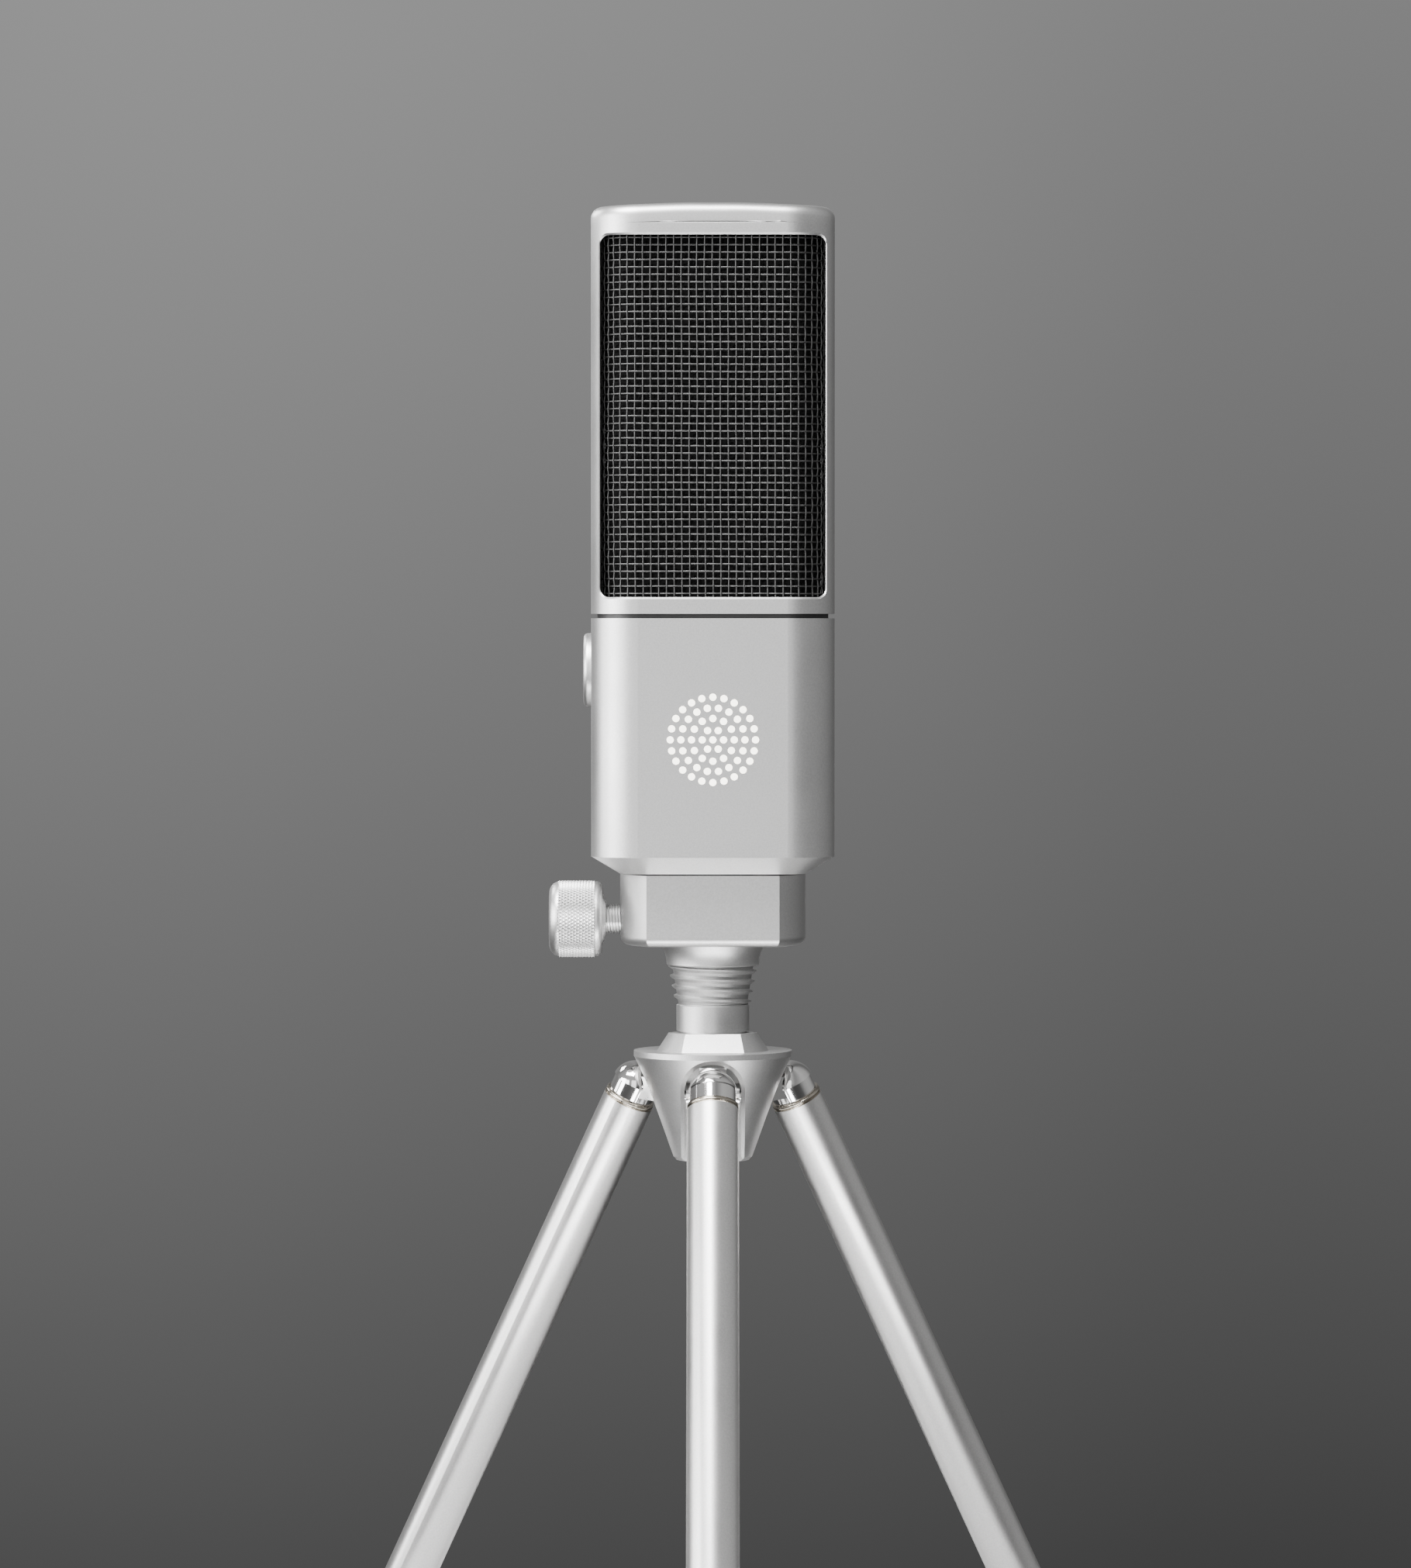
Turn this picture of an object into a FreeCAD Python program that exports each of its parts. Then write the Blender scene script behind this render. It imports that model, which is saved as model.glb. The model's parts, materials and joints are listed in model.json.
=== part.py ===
"""Desktop microphone on a folding three-legged stand, as a parametric document in millimetres.

The origin lies on the floor, under the axis of the column. +Z is up, -Y is the front that is
spoken into, and the thumbscrew and the dial are on -X. Every size is a cell of the sheet Sizes,
and every sketch, pad, cut and placement is bound to those cells.
"""
import FreeCAD
import Part
import math
import os
import Sketcher

Vector = FreeCAD.Vector
DOC = FreeCAD.newDocument("DesktopMicrophone")
SHEET = DOC.addObject("Spreadsheet::Sheet", "Sizes")
PIECES = []

# Each row: alias, value in millimetres (degrees for angles, a plain number for counts).
SIZES = [
    # microphone casing
    ("body_width", 54.0),
    ("body_depth", 46.0),
    ("body_corner", 10.5),
    ("bevel_height", 3.9),
    ("bevel_band", 0.25),
    ("bevel_inset", 6.5),
    ("housing_height", 52.5),
    ("reveal_gap", 1.0),
    ("reveal_inset", 1.4),
    ("head_height", 86.05),
    ("cap_height", 4.4),
    ("cap_edge", 2.4),
    ("seam_edge", 0.15),
    ("cap_lip", 1.3),
    ("housing_wall", 1.8),
    ("head_wall", 1.4),
    ("spigot_wall", 1.5),
    ("spigot_length", 2.5),
    ("slip", 0.1),
    # grille window, woven basket and foam
    ("window_side", 2.1),
    ("window_top", 2.7),
    ("window_foot", 3.65),
    ("window_corner", 2.0),
    ("window_lip", 0.4),
    ("basket_wall", 1.2),
    ("foam_wall", 2.5),
    # capsule
    ("capsule_rise", 47.0),
    ("capsule_side_gap", 4.27),
    ("capsule_depth", 9.0),
    ("capsule_rim", 2.0),
    ("diaphragm_recess", 1.0),
    ("diaphragm_wall", 0.3),
    ("cradle_wall", 2.4),
    ("cradle_depth", 7.0),
    ("post_width", 10.0),
    ("post_depth", 4.0),
    ("post_foot_width", 22.0),
    ("post_foot_depth", 14.0),
    ("post_foot_wall", 2.0),
    ("lead_radius", 0.9),
    ("lead_drop", 8.0),
    # light field
    ("light_rise", 25.75),
    ("light_pitch", 2.35),
    ("light_radius", 0.79),
    ("diffuser_margin", 2.2),
    ("diffuser_wall", 1.5),
    ("diffuser_rim", 1.5),
    ("diffuser_depth", 5.0),
    ("board_wall", 1.6),
    # chassis, boards and sockets
    ("chassis_side_gap", 0.2),
    ("chassis_setback", 11.2),
    ("chassis_wall", 1.5),
    ("chassis_reach", 5.4),
    ("standoff_length", 2.0),
    ("standoff_radius", 2.0),
    ("board_side_gap", 0.5),
    ("board_rise", 4.5),
    ("board_top_gap", 6.0),
    ("board_inset", 3.0),
    ("usb_width", 9.0),
    ("usb_height", 3.3),
    ("usb_skin", 0.35),
    ("usb_rise", 12.0),
    ("socket_setback", 0.4),
    ("jack_radius", 3.2),
    ("jack_bore", 1.8),
    ("jack_floor", 1.9),
    ("jack_rise", 9.0),
    ("chip_rise", 28.0),
    ("chip_spacing", 1.0),
    ("processor_side", 8.0),
    ("processor_wall", 1.2),
    ("converter_side", 6.0),
    ("converter_wall", 1.0),
    ("capacitor_rise", 22.0),
    ("capacitor_offset", 7.0),
    ("capacitor_radius", 2.0),
    ("capacitor_length", 5.0),
    ("screw_thread", 1.25),
    ("screw_head", 2.3),
    ("screw_head_depth", 1.6),
    ("screw_length", 5.0),
    ("chassis_edge", 3.0),
    ("chassis_screw_reach", 2.4),
    # dial and encoder
    ("dial_top_gap", 3.3),
    ("dial_radius", 8.25),
    ("dial_proud", 1.9),
    ("dial_skirt", 0.9),
    ("dial_round", 1.1),
    ("dial_slip", 0.2),
    ("dial_travel", 0.5),
    ("encoder_size", 11.7),
    ("encoder_board_rim", 0.5),
    ("encoder_depth", 6.0),
    ("rotor_radius", 4.8),
    ("rotor_wall", 1.5),
    ("shaft_radius", 3.0),
    # swivel and clamp
    ("spindle_radius", 9.5),
    ("spindle_flange_rim", 4.5),
    ("spindle_flange_wall", 2.0),
    ("spindle_step", 1.0),
    ("spindle_step_height", 5.2),
    ("washer_rim", 4.7),
    ("washer_wall", 0.35),
    ("swivel_gap", 0.05),
    ("running", 0.05),
    ("fixed", 0.03),
    ("block_side_wall", 11.25),
    ("block_flat_wall", 5.1),
    ("block_height", 15.9),
    ("block_floor", 2.9),
    ("block_edge", 2.0),
    ("spindle_end_gap", 0.4),
    ("clamp_screw_rise", 5.7),
    ("clamp_screw_radius", 3.3),
    ("pad_gap", 0.1),
    ("pad_radius", 2.2),
    ("pad_wall", 1.6),
    ("pad_stem_radius", 1.2),
    ("pad_stem_length", 3.0),
    ("knob_stand", 15.85),
    ("knob_radius", 8.6),
    ("knob_width", 10.4),
    ("knob_round", 2.3),
    ("knob_inner_round", 1.8),
    ("knob_shoulder", 2.4),
    ("knob_socket", 7.0),
    # column
    ("neck_height", 4.7),
    ("neck_top_radius", 11.6),
    ("neck_foot_radius", 10.2),
    ("thread_length", 8.7),
    ("thread_top_radius", 9.95),
    ("thread_foot_radius", 8.5),
    ("thread_depth", 0.75),
    ("thread_ridges", 4),
    ("collar_height", 6.3),
    ("collar_radius", 8.15),
    ("collar_foot", 0.4),
    ("collar_foot_radius", 7.4),
    ("stud_radius", 3.175),
    ("stud_inside_neck", 5.0),
    ("block_screw_radius", 2.5),
    ("block_screw_head", 4.6),
    ("block_screw_length", 6.0),
    # tripod hub
    ("hub_top_radius", 9.98),
    ("hub_shoulder_radius", 12.5),
    ("hub_cone_height", 4.0),
    ("hub_facet_inset", 2.1),
    ("flange_wall", 2.5),
    ("flange_side_wall", 11.4),
    ("arch_crown", 2.2),
    ("ear_waist_wall", 7.1),
    ("ear_waist_drop", 1.0),
    ("ear_foot_wall", 3.0),
    ("ear_drop", 16.0),
    ("ear_toe", 0.9),
    ("slot_gap", 0.55),
    ("slot_floor", 5.8),
    ("slot_lip", 1.0),
    ("core_drop", 6.0),
    ("nut_across", 5.2),
    ("nut_height", 4.0),
    # hinges and legs
    ("leg_count", 3),
    ("leg_length", 155.3),
    ("leg_splay", 27.7),
    ("leg_reach", 20.2),
    ("pin_reach", 9.4),
    ("pin_drop", 1.2),
    ("pin_radius", 1.25),
    ("pin_bite", 1.6),
    ("eye_radius", 3.0),
    ("eye_side_gap", 0.4),
    ("arm_width", 7.0),
    ("arm_height", 5.0),
    ("heel_width", 6.0),
    ("heel_length", 4.0),
    ("heel_gap", 0.2),
    ("dome_setback", 0.3),
    ("dome_step", 0.35),
    ("dome_step_rise", 0.9),
    ("ring_drop", 2.5),
    ("ring_height", 1.4),
    ("tube_radius", 5.75),
    ("tube_wall", 1.0),
    ("plug_length", 14.0),
    ("foot_wall", 1.15),
    ("foot_height", 13.0),
    ("foot_round", 1.6),
    ("tube_end_gap", 7.5),
]


class Size:
    """A number together with the sheet expression that gives it."""

    def __init__(self, value, text):
        self.value = value
        self.text = text

    def __add__(self, other):
        other = as_size(other)
        return Size(self.value + other.value, "(%s + %s)" % (self.text, other.text))

    def __sub__(self, other):
        other = as_size(other)
        return Size(self.value - other.value, "(%s - %s)" % (self.text, other.text))

    def __mul__(self, other):
        other = as_size(other)
        return Size(self.value * other.value, "%s * %s" % (self.text, other.text))

    def __truediv__(self, other):
        other = as_size(other)
        return Size(self.value / other.value, "%s / (%s)" % (self.text, other.text))

    def __neg__(self):
        return Size(-self.value, "(0 - %s)" % self.text)

    def __radd__(self, other):
        return as_size(other) + self

    def __rsub__(self, other):
        return as_size(other) - self

    def __rmul__(self, other):
        return as_size(other) * self


def as_size(number):
    """Return a plain number as a Size."""
    if isinstance(number, Size):
        return number
    return Size(float(number), "%.9g" % number)


def cosine(angle):
    """Return the cosine of an angle in degrees."""
    return Size(math.cos(math.radians(angle.value)), "cos(%s)" % angle.text)


def sine(angle):
    """Return the sine of an angle in degrees."""
    return Size(math.sin(math.radians(angle.value)), "sin(%s)" % angle.text)


def square_root(size):
    """Return the square root of a size."""
    return Size(math.sqrt(size.value), "sqrt(%s)" % size.text)


class Sizes:
    """The cells of the sheet, one attribute for each alias."""

    def __init__(self, rows):
        for number, (alias, value) in enumerate(rows, start=1):
            SHEET.set("A%d" % number, alias)
            SHEET.set("B%d" % number, "%.9g" % value)
            SHEET.setAlias("B%d" % number, alias)
            setattr(self, alias, Size(float(value), "Sizes." + alias))


S = Sizes(SIZES)
DOC.recompute()
SLOT_HALF = S.tube_radius + S.slot_gap


class Levels:
    """Heights above the floor, worked up from the feet."""

    hinge = S.leg_length * cosine(S.leg_splay)
    pin = hinge - S.pin_drop
    ear_foot = hinge - S.ear_drop
    shoulder = hinge + SLOT_HALF + S.arch_crown
    flange = shoulder - S.flange_wall
    hub_top = shoulder + S.hub_cone_height
    stem = hub_top + S.collar_height
    neck = stem + S.thread_length
    block = neck + S.neck_height
    socket_floor = block + S.block_floor
    clamp_screw = block + S.clamp_screw_rise
    block_top = block + S.block_height
    mic = block_top + S.washer_wall + S.swivel_gap
    housing = mic + S.bevel_height + S.bevel_band
    reveal = housing + S.housing_height
    head = reveal + S.reveal_gap
    capsule = head + S.capsule_rise
    cap = head + S.head_height
    top = cap + S.cap_height
    usb = housing + S.usb_rise
    jack = usb + S.jack_rise
    lights = housing + S.light_rise
    dial = reveal - S.dial_top_gap - S.dial_radius


Z = Levels
ZERO = as_size(0.0)
HALF_WIDTH = S.body_width / 2
HALF_DEPTH = S.body_depth / 2

# Sketch plane role, and whether a pad along the plane's normal runs towards + on the world axis.
PLANES = {"x": ("YZ_Plane", True), "y": ("XZ_Plane", False), "z": ("XY_Plane", True)}


def bind(item, path, size):
    """Set a property from the sheet."""
    item.setExpression(path, as_size(size).text)


def placement(x=ZERO, y=ZERO, z=ZERO, turn="rotation(vector(0; 0; 1); 0)"):
    """Return the expression of a placement at x, y, z."""
    spot = tuple(as_size(part).text for part in (x, y, z))
    return "placement(vector(%s; %s; %s); %s)" % (spot + (turn,))


def register(item, name):
    """Name a finished sub-part and keep it for export."""
    item.Label = name
    PIECES.append(item)
    return item


class Outline:
    """A sketch on one of a body's origin planes, with every dimension bound to the sheet."""

    def __init__(self, body, axis, level=ZERO):
        role, forward = PLANES[axis]
        self.item = body.newObject("Sketcher::SketchObject", body.Name + "_outline")
        plane = [part for part in body.Origin.OriginFeatures if part.Role == role][0]
        self.item.AttachmentSupport = [(plane, "")]
        self.item.MapMode = "FlatFace"
        offset = level if forward else -level
        bind(self.item, "AttachmentOffset.Base.z", offset)
        self.names = 0

    def fix(self, kind, where, size):
        """Add one dimension and bind it."""
        size = as_size(size)
        index = self.item.addConstraint(Sketcher.Constraint(kind, *(where + (size.value,))))
        self.names += 1
        name = "d%d" % self.names
        self.item.renameConstraint(index, name)
        bind(self.item, "Constraints." + name, size)

    def pin(self, shape, point, x, y):
        """Fix a point of a shape from the sketch's origin."""
        self.fix("DistanceX", (-1, 1, shape, point), x)
        self.fix("DistanceY", (-1, 1, shape, point), y)

    def circle(self, x, y, radius):
        """Draw a circle."""
        x, y, radius = as_size(x), as_size(y), as_size(radius)
        centre = Vector(x.value, y.value, 0)
        shape = self.item.addGeometry(Part.Circle(centre, Vector(0, 0, 1), radius.value), False)
        self.pin(shape, 3, x, y)
        self.fix("Radius", (shape,), radius)

    def polygon(self, points):
        """Draw a closed outline of straight lines."""
        points = [(as_size(x), as_size(y)) for x, y in points]
        first = self.item.GeometryCount
        count = len(points)
        for number in range(count):
            start = points[number]
            end = points[(number + 1) % count]
            line = Part.LineSegment(
                Vector(start[0].value, start[1].value, 0), Vector(end[0].value, end[1].value, 0)
            )
            self.item.addGeometry(line, False)
        for number in range(count):
            following = first + (number + 1) % count
            self.item.addConstraint(Sketcher.Constraint("Coincident", first + number, 2, following, 1))
        for number, (x, y) in enumerate(points):
            self.pin(first + number, 1, x, y)

    def box(self, left, right, low, high):
        """Draw a rectangle."""
        self.polygon([(left, low), (right, low), (right, high), (left, high)])

    def rounded(self, left, right, low, high, radius):
        """Draw a rectangle with round corners."""
        left, right, low, high = as_size(left), as_size(right), as_size(low), as_size(high)
        radius = as_size(radius)
        x0, x1, y0, y1, r = left.value, right.value, low.value, high.value, radius.value
        sides = [
            (x0 + r, y0, x1 - r, y0),
            (x1, y0 + r, x1, y1 - r),
            (x1 - r, y1, x0 + r, y1),
            (x0, y1 - r, x0, y0 + r),
        ]
        corners = [(x1 - r, y0 + r, -90), (x1 - r, y1 - r, 0), (x0 + r, y1 - r, 90), (x0 + r, y0 + r, 180)]
        first = self.item.GeometryCount
        for side, corner in zip(sides, corners):
            self.item.addGeometry(
                Part.LineSegment(Vector(side[0], side[1], 0), Vector(side[2], side[3], 0)), False
            )
            circle = Part.Circle(Vector(corner[0], corner[1], 0), Vector(0, 0, 1), r)
            begin = math.radians(corner[2])
            self.item.addGeometry(Part.ArcOfCircle(circle, begin, begin + math.pi / 2), False)
        for number in range(4):
            line = first + 2 * number
            following = first + (2 * number + 2) % 8
            self.item.addConstraint(Sketcher.Constraint("Tangent", line, 2, line + 1, 1))
            self.item.addConstraint(Sketcher.Constraint("Tangent", line + 1, 2, following, 1))
            way = "Vertical" if number % 2 else "Horizontal"
            self.item.addConstraint(Sketcher.Constraint(way, line))
        for number in (3, 5, 7):
            self.item.addConstraint(Sketcher.Constraint("Equal", first + 1, first + number))
        self.fix("Radius", (first + 1,), radius)
        self.fix("DistanceY", (-1, 1, first, 1), low)
        self.fix("DistanceX", (-1, 1, first + 2, 1), right)
        self.fix("DistanceY", (-1, 1, first + 4, 1), high)
        self.fix("DistanceX", (-1, 1, first + 6, 1), left)


class Workpiece:
    """One PartDesign body, built up feature by feature."""

    def __init__(self, name):
        self.body = DOC.addObject("PartDesign::Body", name)
        register(self.body, name)

    def volume(self):
        """Return the volume so far."""
        return self.body.Shape.Volume if self.body.Tip else 0.0

    def add(self, axis, low, high, draw):
        """Pad an outline from low to high along a world axis."""
        forward = PLANES[axis][1]
        outline = Outline(self.body, axis, low if forward else high)
        draw(outline)
        feature = self.body.newObject("PartDesign::Pad", self.body.Name + "_pad")
        feature.Profile = outline.item
        bind(feature, "Length", high - low)
        DOC.recompute()
        return feature

    def cut(self, axis, low, high, draw):
        """Cut an outline away from low to high along a world axis."""
        before = self.volume()
        forward = PLANES[axis][1]
        outline = Outline(self.body, axis, high if forward else low)
        draw(outline)
        feature = self.body.newObject("PartDesign::Pocket", self.body.Name + "_cut")
        feature.Profile = outline.item
        bind(feature, "Length", high - low)
        DOC.recompute()
        if not self.volume() < before:
            raise RuntimeError(self.body.Label + ": a cut takes nothing away")
        return feature

    def spin(self, plane, edge, points):
        """Turn an outline about one of its sketch axes."""
        outline = Outline(self.body, plane)
        outline.polygon(points)
        feature = self.body.newObject("PartDesign::Revolution", self.body.Name + "_turned")
        feature.Profile = outline.item
        feature.ReferenceAxis = (outline.item, [edge])
        feature.Angle = 360
        DOC.recompute()
        return feature

    def groove(self, plane, edge, points):
        """Turn an outline about one of its sketch axes and take it away."""
        before = self.volume()
        outline = Outline(self.body, plane)
        outline.polygon(points)
        feature = self.body.newObject("PartDesign::Groove", self.body.Name + "_groove")
        feature.Profile = outline.item
        feature.ReferenceAxis = (outline.item, [edge])
        feature.Angle = 360
        DOC.recompute()
        if not self.volume() < before:
            raise RuntimeError(self.body.Label + ": a groove takes nothing away")
        return feature

    def repeat(self, feature, count, upright=False):
        """Copy a feature around its sketch's normal, or around the body's upright axis."""
        pattern = self.body.newObject("PartDesign::PolarPattern", self.body.Name + "_pattern")
        pattern.Originals = [feature]
        pattern.Axis = (feature.Profile[0], ["N_Axis"])
        if upright:
            axis = [part for part in self.body.Origin.OriginFeatures if part.Role == "Z_Axis"][0]
            pattern.Axis = (axis, [""])
        pattern.Angle = 360
        if isinstance(count, Size):
            bind(pattern, "Occurrences", count)
        else:
            pattern.Occurrences = count
        self.body.Tip = pattern
        DOC.recompute()
        return pattern

    def edges(self, choose):
        """Return the names of the edges of the shape so far that the test accepts."""
        return ["Edge%d" % (n + 1) for n, edge in enumerate(self.body.Shape.Edges) if choose(edge)]

    def fillet(self, radius, choose):
        """Round the chosen edges."""
        base = self.body.Tip
        feature = self.body.newObject("PartDesign::Fillet", self.body.Name + "_fillet")
        feature.Base = (base, self.edges(choose))
        bind(feature, "Radius", radius)
        DOC.recompute()
        return feature

    def chamfer(self, size, choose, second=None):
        """Bevel the chosen edges."""
        base = self.body.Tip
        feature = self.body.newObject("PartDesign::Chamfer", self.body.Name + "_chamfer")
        feature.Base = (base, self.edges(choose))
        bind(feature, "Size", size)
        if second is not None:
            feature.ChamferType = "Two distances"
            bind(feature, "Size2", second)
        DOC.recompute()
        return feature

    def place(self, expression):
        """Place the finished body."""
        self.body.setExpression("Placement", expression)
        DOC.recompute()


def at_height(level):
    """Return a test for edges that lie flat at one height."""
    def choose(edge):
        box = edge.BoundBox
        return box.ZLength < 1e-4 and abs(box.ZMin - as_size(level).value) < 1e-3
    return choose


def casing(outline, inset):
    """Draw the casing's outline, drawn in by an inset."""
    outline.rounded(
        inset - HALF_WIDTH, HALF_WIDTH - inset, inset - HALF_DEPTH, HALF_DEPTH - inset, S.body_corner - inset
    )


def casing_depth(spot):
    """Return how far outside the casing's surface a point lies, seen from above."""
    corner = S.body_corner.value
    out_x = abs(spot.x) - (HALF_WIDTH.value - corner)
    out_y = abs(spot.y) - (HALF_DEPTH.value - corner)
    beyond = math.hypot(max(out_x, 0.0), max(out_y, 0.0))
    return beyond + min(max(out_x, out_y), 0.0) - corner


def casing_tube(outline, inset, wall):
    """Draw a wall of the casing's shape, an inset below the casing's surface."""
    casing(outline, inset)
    casing(outline, inset + wall)


# ---------------------------------------------------------------- places that several pieces share
HEAD_SPIGOT_INSET = S.head_wall + S.slip
HOUSING_SPIGOT_INSET = S.housing_wall + S.slip
FOAM_INSET = HEAD_SPIGOT_INSET + S.basket_wall + S.slip
BASKET_LOW = Z.head + S.spigot_length + S.slip
BASKET_HIGH = Z.cap - S.cap_lip - S.slip
DIAL_FACE = -HALF_WIDTH - S.dial_proud
DIAL_DEPTH = S.dial_proud + S.housing_wall + S.dial_skirt
DIAL_BACK = DIAL_FACE + DIAL_DEPTH
ENCODER_FACE = DIAL_BACK + S.dial_travel + S.slip
ENCODER_BACK = ENCODER_FACE + S.encoder_depth
CAPSULE_RADIUS = HALF_WIDTH - FOAM_INSET - S.foam_wall - S.cradle_wall - S.fixed - S.capsule_side_gap
SPINDLE_FLANGE = S.spindle_radius + S.spindle_flange_rim
CHASSIS_HALF = -ENCODER_BACK - S.chassis_side_gap
CHASSIS_BACK = HALF_DEPTH - S.housing_wall - S.chassis_setback
CHASSIS_SCREW_X = CHASSIS_HALF - S.chassis_edge
CHASSIS_SCREW_Y = CHASSIS_BACK + S.chassis_screw_reach
BOARD_SEAT = CHASSIS_BACK + S.standoff_length
BOARD_FACE = BOARD_SEAT + S.board_wall
BOARD_HALF = CHASSIS_HALF - S.board_side_gap
BOARD_LOW = Z.housing + S.board_rise
BOARD_HIGH = Z.reveal - S.board_top_gap
LEAD_Y = BOARD_SEAT + S.board_wall / 2


# ---------------------------------------------------------------- microphone head
def make_top_cap():
    """A flat lid with a rounded rim and a lip that centres it in the head frame."""
    piece = Workpiece("top_cap")
    piece.add("z", Z.cap, Z.top, lambda o: casing(o, ZERO))
    piece.fillet(S.cap_edge, at_height(Z.top))
    piece.chamfer(S.seam_edge, at_height(Z.cap))
    lip_low = Z.cap - S.cap_lip
    piece.add("z", lip_low, Z.cap, lambda o: casing_tube(o, HEAD_SPIGOT_INSET, S.spigot_wall))


def make_head_frame():
    """The tube round the capsule, with a window front and back that wraps the corners."""
    piece = Workpiece("head_frame")
    piece.add("z", Z.head, Z.cap, lambda o: casing_tube(o, ZERO, S.head_wall))

    def seam(edge):
        spot = edge.valueAt((edge.FirstParameter + edge.LastParameter) / 2)
        return at_height(Z.cap)(edge) and abs(casing_depth(spot)) < 0.01

    piece.chamfer(S.seam_edge, seam)
    side = HALF_WIDTH - S.window_side
    low = Z.head + S.window_foot
    high = Z.cap - S.window_top
    piece.cut("y", -S.body_depth, S.body_depth, lambda o: o.rounded(-side, side, low, high, S.window_corner))

    def window_edge(edge):
        span = [edge.valueAt(edge.FirstParameter + (edge.LastParameter - edge.FirstParameter) * part)
                for part in (0.1, 0.5, 0.9)]
        inside = all(low.value - 0.01 < spot.z < high.value + 0.01 for spot in span)
        wraps = all(abs(spot.x) < side.value + 0.01 for spot in span)
        return inside and wraps and all(abs(casing_depth(spot)) < 0.01 for spot in span)

    piece.chamfer(S.window_lip, window_edge)


def make_basket_and_foam():
    """The woven basket behind the windows, and the foam that lines it."""
    basket = Workpiece("mesh_basket")
    basket.add("z", BASKET_LOW, BASKET_HIGH, lambda o: casing_tube(o, HEAD_SPIGOT_INSET, S.basket_wall))
    foam = Workpiece("foam_liner")
    foam.add("z", BASKET_LOW, BASKET_HIGH, lambda o: casing_tube(o, FOAM_INSET, S.foam_wall))


def make_mid_frame():
    """The dark plate between head and housing, with a spigot into each."""
    piece = Workpiece("mid_frame")
    piece.add("z", Z.reveal, Z.head, lambda o: casing(o, S.reveal_inset))
    upper = Z.head + S.spigot_length
    piece.add("z", Z.head, upper, lambda o: casing_tube(o, HEAD_SPIGOT_INSET, S.spigot_wall))
    lower = Z.reveal - S.spigot_length
    piece.add("z", lower, Z.reveal, lambda o: casing_tube(o, HOUSING_SPIGOT_INSET, S.spigot_wall))
    piece.cut("z", Z.reveal, Z.head, lambda o: o.circle(ZERO, LEAD_Y, S.lead_radius + S.slip))
    for side in (-1, 1):
        spot = CHASSIS_SCREW_X * side
        piece.cut("z", Z.reveal, Z.head, lambda o: o.circle(spot, CHASSIS_SCREW_Y, S.screw_thread + S.fixed))


def make_capsule():
    """Capsule, diaphragm, rubber cradle, the post that carries them, and the lead."""
    half = S.capsule_depth / 2
    housing = Workpiece("capsule_housing")
    housing.add("y", -half, half, lambda o: o.circle(ZERO, Z.capsule, CAPSULE_RADIUS))
    opening = CAPSULE_RADIUS - S.capsule_rim
    housing.cut("y", -half, S.diaphragm_recess - half, lambda o: o.circle(ZERO, Z.capsule, opening))
    disc = Workpiece("capsule_diaphragm")
    seat = S.diaphragm_recess - half
    disc.add("y", seat - S.diaphragm_wall, seat, lambda o: o.circle(ZERO, Z.capsule, opening - S.slip))

    grip = CAPSULE_RADIUS + S.fixed
    outer = grip + S.cradle_wall
    cradle = Workpiece("capsule_cradle")

    def ring(outline):
        outline.circle(ZERO, Z.capsule, outer)
        outline.circle(ZERO, Z.capsule, grip)

    cradle.add("y", -S.cradle_depth / 2, S.cradle_depth / 2, ring)

    post = Workpiece("capsule_post")
    foot_x = S.post_foot_width / 2
    foot_y = S.post_foot_depth / 2
    foot_top = Z.head + S.post_foot_wall
    post.add("z", Z.head, foot_top, lambda o: o.box(-foot_x, foot_x, -foot_y, foot_y))
    post_x = S.post_width / 2
    post_y = S.post_depth / 2
    post.add("z", foot_top, Z.capsule, lambda o: o.box(-post_x, post_x, -post_y, post_y))
    reach = outer + S.fixed
    post.cut("y", -S.post_depth, S.post_depth, lambda o: o.circle(ZERO, Z.capsule, reach))

    lead = Workpiece("capsule_lead")
    start = Z.capsule - S.lead_drop
    bend = (LEAD_Y - half) / 2
    run = half + bend
    low = BOARD_HIGH
    path = Outline(lead.body, "x")
    spine = path.item
    r = bend.value
    leaving = Vector(half.value, start.value, 0)
    spine.addGeometry(Part.LineSegment(leaving, Vector(run.value, start.value, 0)), False)
    circle = Part.Circle(Vector(run.value, start.value - r, 0), Vector(0, 0, 1), r)
    spine.addGeometry(Part.ArcOfCircle(circle, 0, math.pi / 2), False)
    corner = Vector(run.value + r, start.value - r, 0)
    spine.addGeometry(Part.LineSegment(corner, Vector(run.value + r, low.value, 0)), False)
    spine.addConstraint(Sketcher.Constraint("Tangent", 0, 2, 1, 2))
    spine.addConstraint(Sketcher.Constraint("Tangent", 1, 1, 2, 1))
    spine.addConstraint(Sketcher.Constraint("Horizontal", 0))
    spine.addConstraint(Sketcher.Constraint("Vertical", 2))
    path.pin(0, 1, half, start)
    path.pin(2, 2, LEAD_Y, low)
    path.fix("Radius", (1,), bend)
    section = Outline(lead.body, "y", half)
    section.circle(ZERO, start, S.lead_radius)
    pipe = lead.body.newObject("PartDesign::AdditivePipe", "capsule_lead_pipe")
    pipe.Profile = section.item
    pipe.Spine = (spine, ["Edge1", "Edge2", "Edge3"])
    DOC.recompute()


# ---------------------------------------------------------------- microphone housing
LIGHT_RINGS = 4


def light_rings():
    """Yield the radius and the number of lights of each ring, from the single one in the middle."""
    yield ZERO, 1
    for ring in range(1, LIGHT_RINGS + 1):
        yield S.light_pitch * ring, 6 * ring


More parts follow.
